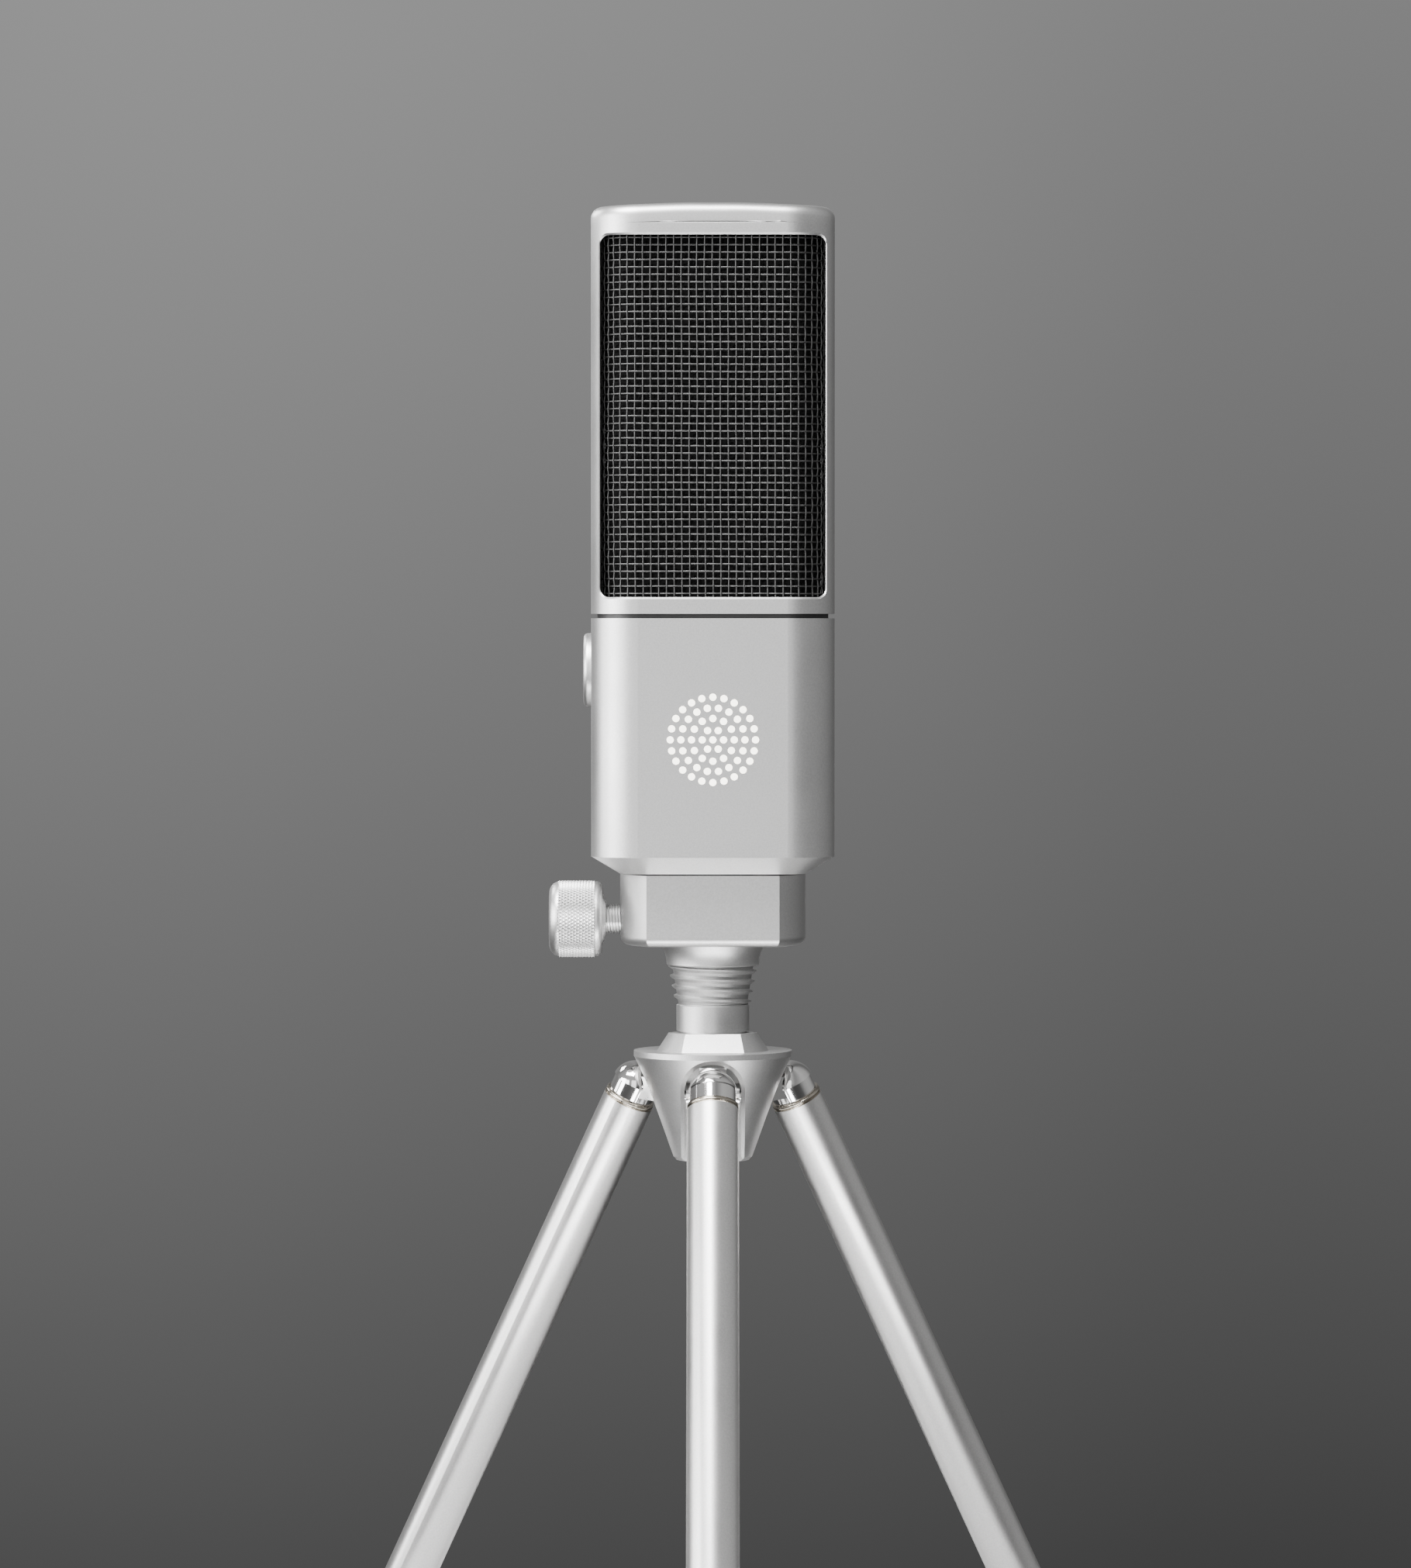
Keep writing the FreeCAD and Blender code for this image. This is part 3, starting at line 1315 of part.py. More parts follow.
def make_leg(name, number):
    """One leg, drawn upright with its knuckle's centre at the origin, then splayed and placed."""
    lean = S.leg_splay
    splayed = placement(ZERO, -S.leg_reach, Z.hinge, "rotation(vector(1; 0; 0); 0 - %s)" % lean.text)
    place = "placement(vector(0; 0; 0); %s) * %s" % (turned(number), splayed)

    def leaned(inward, upward):
        """Return where a point beside the splayed knuckle lies on the upright leg."""
        return (
            inward * cosine(lean) - upward * sine(lean),
            inward * sine(lean) + upward * cosine(lean),
        )

    eye_in = S.leg_reach - S.pin_reach
    eye_y, eye_z = leaned(eye_in, -S.pin_drop)
    bore = S.tube_radius - S.tube_wall - S.fixed
    ring_top = -S.ring_drop
    tube_top = ring_top - S.ring_height
    plug_end = tube_top - S.plug_length
    waist = DOME_RADIUS - S.dome_step

    knuckle = Workpiece(name + "_knuckle")
    outline = Outline(knuckle.body, "y")
    item = outline.item
    radius = DOME_RADIUS.value
    lift = S.dome_step_rise
    side = math.sqrt(radius * radius - lift.value * lift.value)
    corners = [
        Vector(0, radius, 0),
        Vector(side, lift.value, 0),
        Vector(waist.value, lift.value, 0),
        Vector(waist.value, ring_top.value, 0),
        Vector(bore.value, ring_top.value, 0),
        Vector(bore.value, plug_end.value, 0),
        Vector(0, plug_end.value, 0),
    ]
    dome = Part.Circle(Vector(0, 0, 0), Vector(0, 0, 1), radius)
    item.addGeometry(Part.ArcOfCircle(dome, math.asin(lift.value / radius), math.pi / 2), False)
    for start, end in zip(corners[1:], corners[2:] + corners[:1]):
        item.addGeometry(Part.LineSegment(start, end), False)
    count = len(corners)
    item.addConstraint(Sketcher.Constraint("Coincident", 0, 1, 1, 1))
    for line in range(1, count - 1):
        item.addConstraint(Sketcher.Constraint("Coincident", line, 2, line + 1, 1))
    item.addConstraint(Sketcher.Constraint("Coincident", count - 1, 2, 0, 2))
    item.addConstraint(Sketcher.Constraint("Coincident", 0, 3, -1, 1))
    item.addConstraint(Sketcher.Constraint("PointOnObject", 0, 2, -2))
    outline.fix("Radius", (0,), DOME_RADIUS)
    outline.fix("DistanceY", (-1, 1, 0, 1), lift)
    outline.pin(2, 1, waist, lift)
    outline.pin(3, 1, waist, ring_top)
    outline.pin(4, 1, bore, ring_top)
    outline.pin(5, 1, bore, plug_end)
    outline.pin(6, 1, ZERO, plug_end)
    turn = knuckle.body.newObject("PartDesign::Revolution", name + "_dome")
    turn.Profile = item
    turn.ReferenceAxis = (item, ["V_Axis"])
    turn.Angle = 360
    DOC.recompute()
    arm = S.arm_width / 2
    tall = S.arm_height / 2
    knuckle.add("x", -arm, arm, lambda o: o.polygon([
        leaned(ZERO, -tall),
        leaned(eye_in, -S.pin_drop - tall),
        leaned(eye_in, tall - S.pin_drop),
        leaned(ZERO, tall),
    ]))
    heel = S.heel_width / 2
    heel_top = square_root(SLOT_HALF * SLOT_HALF - heel * heel) - S.heel_gap
    knuckle.add("x", -heel, heel, lambda o: o.polygon([
        leaned(eye_in - S.heel_length, ZERO),
        leaned(eye_in, ZERO),
        leaned(eye_in, heel_top),
        leaned(eye_in - S.heel_length, heel_top),
    ]))
    half = SLOT_HALF - S.eye_side_gap
    knuckle.add("x", -half, half, lambda o: o.circle(eye_y, eye_z, S.eye_radius))
    knuckle.cut("x", -half, half, lambda o: o.circle(eye_y, eye_z, S.pin_radius + S.running))
    knuckle.place(place)

    ring = Workpiece(name + "_ring")
    hole = bore + S.fixed

    def washer(sketch):
        sketch.circle(ZERO, ZERO, S.tube_radius)
        sketch.circle(ZERO, ZERO, hole)

    ring.add("z", tube_top, ring_top, washer)
    ring.place(place)

    tube = Workpiece(name + "_tube")
    end = S.tube_end_gap - S.leg_length

    def wall(sketch):
        sketch.circle(ZERO, ZERO, S.tube_radius)
        sketch.circle(ZERO, ZERO, S.tube_radius - S.tube_wall)

    tube.add("z", end, tube_top, wall)
    tube.place(place)

    foot = Workpiece(name + "_foot")
    grip = S.tube_radius + S.fixed
    low = -S.leg_length - FOOT_RADIUS
    brim = S.foot_height - S.leg_length
    foot.spin("y", "V_Axis", [
        (ZERO, low),
        (FOOT_RADIUS, low),
        (FOOT_RADIUS, brim - S.foot_round),
        (FOOT_RADIUS - S.foot_round / 2, brim),
        (grip, brim),
        (grip, end),
        (ZERO, end),
    ])
    sole = FOOT_RADIUS * 2
    foot.cut("x", -sole, sole, lambda o: o.polygon([
        (-cosine(lean) * sole, -S.leg_length - sine(lean) * sole),
        (-cosine(lean) * sole, low - sole),
        (cosine(lean) * sole, low - sole),
        (cosine(lean) * sole, sine(lean) * sole - S.leg_length),
    ]))
    foot.place(place)


def make_everything():
    """Build all sub-parts."""
    make_top_cap()
    make_head_frame()
    make_basket_and_foam()
    make_mid_frame()
    make_capsule()
    make_housing()
    make_lights()
    make_bottom_cap()
    make_spindle()
    make_chassis()
    make_main_board()
    make_board_components()
    make_inner_screws()
    make_dial()
    make_block()
    make_thumbscrew()
    make_column()
    make_hub()
    for name, number in (("front_leg", 0), ("right_leg", 1), ("left_leg", 2)):
        make_leg(name, number)
    DOC.recompute()


def check_everything():
    """Stop if any object failed or any sub-part is not a sound solid."""
    for item in DOC.Objects:
        if "Invalid" in item.State or "Error" in item.State:
            raise RuntimeError("%s failed: %s" % (item.Name, item.State))
    for piece in PIECES:
        if piece.Shape.isNull() or not piece.Shape.isValid() or not piece.Shape.Solids:
            raise RuntimeError(piece.Label + " is not a sound solid")


def write_everything():
    """Write one STEP file for each sub-part."""
    os.makedirs("parts", exist_ok=True)
    for piece in PIECES:
        piece.Shape.exportStep("parts/%s.step" % piece.Label)


make_everything()
check_everything()
write_everything()
print("%d sub-parts written" % len(PIECES))
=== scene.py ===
"""Desktop microphone on a folding tripod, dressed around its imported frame.

Every length is in metres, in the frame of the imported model: the floor is z = 0, the column stands on the
origin, the front looks along -Y, and the dial and the thumbscrew are on -X.
"""
import json
import logging
import math
from dataclasses import dataclass, field
from enum import Enum
from typing import Callable, ClassVar, Sequence

import bmesh
import bpy
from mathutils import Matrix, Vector


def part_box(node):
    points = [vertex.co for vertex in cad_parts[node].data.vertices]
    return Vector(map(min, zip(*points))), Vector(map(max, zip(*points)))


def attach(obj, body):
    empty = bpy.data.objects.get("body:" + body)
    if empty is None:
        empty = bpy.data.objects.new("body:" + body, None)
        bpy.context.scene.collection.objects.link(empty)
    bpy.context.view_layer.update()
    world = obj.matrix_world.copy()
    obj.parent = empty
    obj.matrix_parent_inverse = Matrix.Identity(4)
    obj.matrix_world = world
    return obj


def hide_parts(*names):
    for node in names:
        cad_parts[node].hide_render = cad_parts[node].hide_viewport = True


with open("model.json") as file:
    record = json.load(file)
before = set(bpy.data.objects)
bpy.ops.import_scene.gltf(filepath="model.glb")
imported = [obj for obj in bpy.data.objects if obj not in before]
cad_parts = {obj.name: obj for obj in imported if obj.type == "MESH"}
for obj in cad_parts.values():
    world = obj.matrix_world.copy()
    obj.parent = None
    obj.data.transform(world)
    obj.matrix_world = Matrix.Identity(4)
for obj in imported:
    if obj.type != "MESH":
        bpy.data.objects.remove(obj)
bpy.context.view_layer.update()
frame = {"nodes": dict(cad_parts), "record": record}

LOG = logging.getLogger("microphone")
MM = 0.001
HAIR = 0.01 * MM
QUARTER_TURN = math.pi / 2
FULL_TURN = 2 * math.pi
Point = tuple[float, float, float]
Outline = list[tuple[float, float]]
Colour = tuple[float, float, float, float]
Test = Callable[[Vector], bool]


# ---------------------------------------------------------------- node trees
class NodeTree:
    """A thin wrapper that places and links shader nodes."""

    def __init__(self, tree: bpy.types.NodeTree) -> None:
        """Start from an empty tree.

        Args:
            tree: The node tree to fill.
        """
        self.tree = tree
        self.tree.nodes.clear()
        self.count = 0

    def add(self, kind: str, **inputs: object) -> bpy.types.Node:
        """Add a node and set or link its inputs.

        Args:
            kind: The node type, such as "ShaderNodeTexNoise".
            **inputs: Socket names with underscores for spaces. A socket is linked, a value is set.

        Returns:
            The new node.
        """
        node = self.tree.nodes.new(kind)
        node.location = (220 * (self.count % 8), -260 * (self.count // 8))
        self.count += 1
        for name, value in inputs.items():
            self.feed(node, name.replace("_", " "), value)
        return node

    def feed(self, node: bpy.types.Node, name: str | int, value: object) -> None:
        """Link a socket to a node's input, or set the input's value.

        Args:
            node: The node that takes the value.
            name: The input's name, or its number where names repeat.
            value: An output socket or a plain value.
        """
        socket = node.inputs[name]
        if isinstance(value, bpy.types.NodeSocket):
            self.tree.links.new(value, socket)
        else:
            socket.default_value = value

    def math(self, operation: str, first: object, second: object = 0.0) -> bpy.types.NodeSocket:
        """Add a Math node.

        Args:
            operation: The operation's name.
            first: The first input.
            second: The second input.

        Returns:
            The result.
        """
        node = self.add("ShaderNodeMath")
        node.operation = operation
        self.feed(node, 0, first)
        self.feed(node, 1, second)
        return node.outputs[0]

    def blend(self, share: object, low: object, high: object) -> bpy.types.NodeSocket:
        """Mix two colours.

        Args:
            share: How much of the second colour shows.
            low: The colour at 0.
            high: The colour at 1.

        Returns:
            The mixed colour.
        """
        node = self.add("ShaderNodeMix")
        node.data_type = "RGBA"
        for number, value in ((0, share), (6, low), (7, high)):
            self.feed(node, number, value)
        return node.outputs[2]

    def span(
        self, value: object, low: float, high: float, out_low: float = 0.0, out_high: float = 1.0
    ) -> bpy.types.NodeSocket:
        """Map a value from one range to another.

        Args:
            value: The value to map.
            low: The lower end of what comes in.
            high: The upper end of what comes in.
            out_low: What the lower end becomes.
            out_high: What the upper end becomes.

        Returns:
            The mapped value.
        """
        return self.add(
            "ShaderNodeMapRange", Value=value, From_Min=low, From_Max=high, To_Min=out_low, To_Max=out_high
        ).outputs[0]


def grey(level: float, warmth: float = 0.0) -> Colour:
    """Return an opaque grey.

    Args:
        level: The linear brightness.
        warmth: How far red rises and blue falls.

    Returns:
        The colour.
    """
    return (level * (1 + warmth), level, level * (1 - warmth), 1.0)


def shade(colour: Colour, gain: float, lift: float = 0.0) -> Colour:
    """Return a darker or lighter shade of a colour.

    Args:
        colour: The colour.
        gain: What it is multiplied by.
        lift: What is added.

    Returns:
        The shade, opaque.
    """
    red, green, blue = (min(part * gain + lift, 1.0) for part in colour[:3])
    return (red, green, blue, 1.0)


class Effect(Enum):
    """The effects that several finishes share."""

    BEAD_BLAST = "bead_blast"
    TURNED_RINGS = "turned_rings"


def new_group(effect: Effect, inputs: dict[str, float], outputs: Sequence[str]) -> tuple[NodeTree, dict]:
    """Start a shader node group whose sockets all carry plain values.

    Args:
        effect: The effect that it makes.
        inputs: Its inputs and their defaults.
        outputs: Its outputs.

    Returns:
        The tree, and the group's input sockets by name.
    """
    group = bpy.data.node_groups.new(effect.value, "ShaderNodeTree")
    for label, value in inputs.items():
        socket = group.interface.new_socket(name=label, in_out="INPUT", socket_type="NodeSocketFloat")
        socket.default_value = value
    for label in outputs:
        group.interface.new_socket(name=label, in_out="OUTPUT", socket_type="NodeSocketFloat")
    tree = NodeTree(group)
    entry = tree.add("NodeGroupInput")
    return tree, {label: entry.outputs[label] for label in inputs}


def make_blast_group() -> bpy.types.NodeTree:
    """Build the fine bead-blasted grain and the faint clouds of handled metal.

    Returns:
        The node group: Scale and Cloud Scale in, Height and Cloud out.
    """
    tree, entry = new_group(Effect.BEAD_BLAST, {"Scale": 5200.0, "Cloud Scale": 38.0}, ("Height", "Cloud"))
    spot = tree.add("ShaderNodeTexCoord").outputs["Object"]
    fine = tree.add("ShaderNodeTexNoise", Vector=spot, Scale=entry["Scale"], Detail=2.0, Roughness=0.55)
    cloud = tree.add(
        "ShaderNodeTexNoise", Vector=spot, Scale=entry["Cloud Scale"], Detail=5.0, Roughness=0.62
    )
    leave = tree.add("NodeGroupOutput")
    tree.feed(leave, "Height", fine.outputs["Fac"])
    tree.feed(leave, "Cloud", tree.span(cloud.outputs["Fac"], 0.3, 0.7))
    return tree.tree


def make_turned_group() -> bpy.types.NodeTree:
    """Build the rings that a lathe leaves, level round the upright axis.

    Returns:
        The node group: Frequency in, Height and Shade out.
    """
    tree, entry = new_group(Effect.TURNED_RINGS, {"Frequency": 2600.0}, ("Height", "Shade"))
    spot = tree.add("ShaderNodeTexCoord").outputs["Object"]
    parts = tree.add("ShaderNodeSeparateXYZ", Vector=spot)
    level = tree.math("MULTIPLY", parts.outputs["Z"], entry["Frequency"])
    lines = tree.add("ShaderNodeTexNoise", Scale=1.0, Detail=3.0, Roughness=0.7)
    lines.noise_dimensions = "1D"
    tree.feed(lines, "W", level)
    leave = tree.add("NodeGroupOutput")
    tree.feed(leave, "Height", lines.outputs["Fac"])
    tree.feed(leave, "Shade", tree.span(lines.outputs["Fac"], 0.35, 0.65))
    return tree.tree


class Effects:
    """The node groups that several finishes share, each built once."""

    makers: dict[Effect, Callable[[], bpy.types.NodeTree]] = {
        Effect.BEAD_BLAST: make_blast_group,
        Effect.TURNED_RINGS: make_turned_group,
    }
    built: dict[Effect, bpy.types.NodeTree] = {}

    @classmethod
    def place(cls, tree: NodeTree, effect: Effect, **inputs: object) -> bpy.types.Node:
        """Place a shared group in a material.

        Args:
            tree: The material's tree.
            effect: Which group.
            **inputs: The group's inputs.

        Returns:
            The group node.
        """
        if effect not in cls.built:
            cls.built[effect] = cls.makers[effect]()
        node = tree.add("ShaderNodeGroup")
        node.node_tree = cls.built[effect]
        for label, value in inputs.items():
            tree.feed(node, label.replace("_", " "), value)
        return node


# ---------------------------------------------------------------- finishes
@dataclass(frozen=True)
class Finish:
    """A surface finish. Each kind adds its own nodes in dress."""

    name: str
    colour: Colour
    roughness: float
    made: ClassVar[dict[str, bpy.types.Material]] = {}

    def build(self) -> bpy.types.Material:
        """Make the material, or return the one already made.

        Returns:
            The material.
        """
        if self.name in self.made:
            return self.made[self.name]
        material = bpy.data.materials.new(self.name)
        self.made[self.name] = material
        material.use_nodes = True
        tree = NodeTree(material.node_tree)
        shader = tree.add("ShaderNodeBsdfPrincipled")
        shader.inputs["Base Color"].default_value = self.colour
        shader.inputs["Roughness"].default_value = self.roughness
        self.dress(tree, shader)
        out = tree.add("ShaderNodeOutputMaterial")
        tree.feed(out, "Surface", shader.outputs["BSDF"])
        return material

    def dress(self, tree: NodeTree, shader: bpy.types.Node) -> None:
        """Add what sets this finish apart.

        Args:
            tree: The material's tree.
            shader: Its Principled BSDF.
        """

    def bump(
        self, tree: NodeTree, shader: bpy.types.Node, height: object, depth: float, strength: float
    ) -> None:
        """Feed a height into the shader's normal.

        Args:
            tree: The material's tree.
            shader: Its Principled BSDF.
            height: The height, from 0 to 1.
            depth: What a height of 1 measures.
            strength: How strongly it shows.
        """
        node = tree.add("ShaderNodeBump", Height=height, Strength=strength, Distance=depth)
        tree.feed(shader, "Normal", node.outputs["Normal"])


@dataclass(frozen=True)
class BlastedMetal(Finish):
    """Satin metal, bead blasted and anodised."""

    grain: float = 2700.0
    depth: float = 0.012 * MM
    strength: float = 0.35
    cloud: float = 0.035
    edge: float = 1.0

    def dress(self, tree: NodeTree, shader: bpy.types.Node) -> None:
        """Add the blasted grain and faint clouds in colour and roughness.

        Args:
            tree: The material's tree.
            shader: Its Principled BSDF.
        """
        blast = Effects.place(tree, Effect.BEAD_BLAST, Scale=self.grain)
        shader.inputs["Metallic"].default_value = 1.0
        shader.inputs["Specular Tint"].default_value = grey(self.edge)
        clouds = blast.outputs["Cloud"]
        speck = tree.span(blast.outputs["Height"], 0.32, 0.68)
        bright = tree.blend(clouds, shade(self.colour, 0.965), self.colour)
        tree.feed(shader, "Base Color", tree.blend(speck, shade(self.colour, 0.86), bright))
        rough = tree.span(clouds, 0.0, 1.0, self.roughness + self.cloud, self.roughness - self.cloud)
        tree.feed(shader, "Roughness", rough)
        self.bump(tree, shader, blast.outputs["Height"], self.depth, self.strength)


@dataclass(frozen=True)
class TurnedMetal(Finish):
    """Metal as the lathe leaves it."""

    frequency: float = 2600.0
    depth: float = 0.02 * MM
    strength: float = 0.25

    def dress(self, tree: NodeTree, shader: bpy.types.Node) -> None:
        """Add level tool rings to roughness and normal.

        Args:
            tree: The material's tree.
            shader: Its Principled BSDF.
        """
        rings = Effects.place(tree, Effect.TURNED_RINGS, Frequency=self.frequency)
        shader.inputs["Metallic"].default_value = 1.0
        low = shade(self.colour, 0.9)
        tree.feed(shader, "Base Color", tree.blend(rings.outputs["Shade"], low, self.colour))
        rough = tree.span(rings.outputs["Shade"], 0.0, 1.0, self.roughness * 1.25, self.roughness * 0.8)
        tree.feed(shader, "Roughness", rough)
        self.bump(tree, shader, rings.outputs["Height"], self.depth, self.strength)


@dataclass(frozen=True)
class PolishedMetal(Finish):
    """Plated metal, polished, with the faintest haze."""

    def dress(self, tree: NodeTree, shader: bpy.types.Node) -> None:
        """Add a faint haze from handling.

        Args:
            tree: The material's tree.
            shader: Its Principled BSDF.
        """
        blast = Effects.place(tree, Effect.BEAD_BLAST, Scale=900.0, Cloud_Scale=160.0)
        shader.inputs["Metallic"].default_value = 1.0
        haze = tree.span(blast.outputs["Cloud"], 0.0, 1.0, self.roughness, self.roughness * 2.2)
        tree.feed(shader, "Roughness", haze)
        low = shade(self.colour, 0.97)
        tree.feed(shader, "Base Color", tree.blend(blast.outputs["Cloud"], low, self.colour))


@dataclass(frozen=True)
class MouldedPart(Finish):
    """Matt plastic or rubber from a spark-eroded mould."""

    grain: float = 2400.0
    depth: float = 0.03 * MM
    strength: float = 0.4

    def dress(self, tree: NodeTree, shader: bpy.types.Node) -> None:
        """Add the mould's texture and uneven sheen.

        Args:
            tree: The material's tree.
            shader: Its Principled BSDF.
        """
        blast = Effects.place(tree, Effect.BEAD_BLAST, Scale=self.grain, Cloud_Scale=90.0)
        high = shade(self.colour, 1.35, 0.004)
        tree.feed(shader, "Base Color", tree.blend(blast.outputs["Cloud"], self.colour, high))
        rough = tree.span(blast.outputs["Height"], 0.3, 0.7, self.roughness + 0.08, self.roughness - 0.08)
        tree.feed(shader, "Roughness", rough)
        self.bump(tree, shader, blast.outputs["Height"], self.depth, self.strength)


@dataclass(frozen=True)
class OpenFoam(Finish):
    """Open-cell acoustic foam."""

    cells: float = 1500.0
    depth: float = 0.3 * MM
    sheen: float = 0.02

    def dress(self, tree: NodeTree, shader: bpy.types.Node) -> None:
        """Add the pores, with painted shade: the colour is darker down in each pore and lighter on the cell
        walls.

        Args:
            tree: The material's tree.
            shader: Its Principled BSDF.
        """
        spot = tree.add("ShaderNodeTexCoord").outputs["Object"]
        cells = tree.add("ShaderNodeTexVoronoi", Vector=spot, Scale=self.cells)
        pore = tree.span(cells.outputs["Distance"], 0.15, 0.6)
        # painted shade: the colour follows the bump's height, darkest down in each pore and 2.2 times as
        # light on the cell walls
        high = shade(self.colour, 2.2)
        tree.feed(shader, "Base Color", tree.blend(pore, self.colour, high))
        shader.inputs["Specular IOR Level"].default_value = self.sheen
        self.bump(tree, shader, pore, self.depth, 0.8)


@dataclass(frozen=True)
class LitDiffuser(Finish):
    """Milky plastic with light behind it."""

    glow: float = 0.5

    def dress(self, tree: NodeTree, shader: bpy.types.Node) -> None:
        """Add the soft glow, uneven as moulded resin is.

        Args:
            tree: The material's tree.
            shader: Its Principled BSDF.
        """
        blast = Effects.place(tree, Effect.BEAD_BLAST, Scale=1500.0, Cloud_Scale=420.0)
        low = shade(self.colour, 0.93)
        lit = tree.blend(blast.outputs["Cloud"], low, self.colour)
        tree.feed(shader, "Base Color", lit)
        tree.feed(shader, "Emission Color", lit)
        shader.inputs["Emission Strength"].default_value = self.glow
        shader.inputs["Subsurface Weight"].default_value = 0.2
        shader.inputs["Subsurface Radius"].default_value = (0.4 * MM, 0.35 * MM, 0.3 * MM)
        self.bump(tree, shader, blast.outputs["Height"], 0.01 * MM, 0.3)


@dataclass(frozen=True)
class PrintedBoard(Finish):
    """Solder mask over copper tracks."""

    def dress(self, tree: NodeTree, shader: bpy.types.Node) -> None:
        """Add the tracks as raised, lighter lanes.

        Args:
            tree: The material's tree.
            shader: Its Principled BSDF.
        """
        spot = tree.add("ShaderNodeTexCoord").outputs["Object"]
        lanes = tree.add("ShaderNodeTexBrick", Vector=spot, Scale=420.0)
        lanes.inputs["Color1"].default_value = grey(0.0)
        lanes.inputs["Color2"].default_value = grey(0.35)
        lanes.inputs["Mortar"].default_value = grey(1.0)
        lanes.inputs["Mortar Size"].default_value = 0.05
        high = shade(self.colour, 1.8, 0.01)
        tree.feed(shader, "Base Color", tree.blend(lanes.outputs["Color"], self.colour, high))
        self.bump(tree, shader, lanes.outputs["Color"], 0.03 * MM, 0.5)


@dataclass(frozen=True)
class StudioPaper(Finish):
    """The pale floor."""

    def dress(self, tree: NodeTree, shader: bpy.types.Node) -> None:
        """Add a faint tooth.

        Args:
            tree: The material's tree.
            shader: Its Principled BSDF.
        """
        blast = Effects.place(tree, Effect.BEAD_BLAST, Scale=1800.0, Cloud_Scale=6.0)
        low = shade(self.colour, 0.97)
        tree.feed(shader, "Base Color", tree.blend(blast.outputs["Cloud"], low, self.colour))
        self.bump(tree, shader, blast.outputs["Height"], 0.05 * MM, 0.3)


CASING = BlastedMetal("satin_casing", grey(0.66, 0.004), 0.40)
STAND = BlastedMetal("satin_stand", grey(0.62, 0.004), 0.43)
TUBE = BlastedMetal("satin_tube", grey(0.72, 0.010), 0.33)
CHROME = PolishedMetal("polished_chrome", grey(0.82, 0.01), 0.045)
BRONZE = TurnedMetal("bronze_ring", (0.50, 0.46, 0.40, 1.0), 0.2)
FOOT_RUBBER = MouldedPart("rubber_foot", grey(0.014), 0.66)
KNURLED = BlastedMetal("knurled_metal", grey(0.70, 0.004), 0.40)
WIRE = BlastedMetal("woven_wire", grey(0.085, 0.006), 0.46, grain=3000.0, edge=0.4)
FOAM = OpenFoam("black_foam", grey(0.0035), 0.95)
PLASTIC = MouldedPart("black_plastic", grey(0.012), 0.45)
RUBBER = MouldedPart("black_rubber", grey(0.020), 0.65)
BRASS = TurnedMetal("brass_capsule", (0.55, 0.42, 0.20, 1.0), 0.3)
GOLD = PolishedMetal("gold_film", (0.80, 0.62, 0.26, 1.0), 0.12)
LIGHT = LitDiffuser("milky_light", (0.90, 0.87, 0.80, 1.0), 0.45, glow=4.6)
BOARD = PrintedBoard("circuit_board", (0.012, 0.07, 0.03, 1.0), 0.4)
CHIP = MouldedPart("chip_black", grey(0.014), 0.5)
STEEL = TurnedMetal("bare_steel", grey(0.55), 0.26)
PAPER = StudioPaper("pale_floor", grey(0.58), 0.75)

FINISHES = {finish.name: finish for finish in (
    CASING, STAND, TUBE, CHROME, BRONZE, FOOT_RUBBER, KNURLED, WIRE, FOAM, PLASTIC, RUBBER, BRASS, GOLD,
    LIGHT, BOARD, CHIP, STEEL,
)}


# ---------------------------------------------------------------- bench: modelling by hand
class Choose(Enum):
    """What an open piece's operators choose among."""

    POINTS = "VERT"
    EDGES = "EDGE"
    FACES = "FACE"


class Push(Enum):
    """The way a cloudy texture pushes a skin."""

    SIDEWAYS = "X"
    UPWARDS = "Z"
    OUTWARDS = "NORMAL"


class Hand(Enum):
    """The way a screw thread is wound."""

    RIGHT = 1
    LEFT = -1


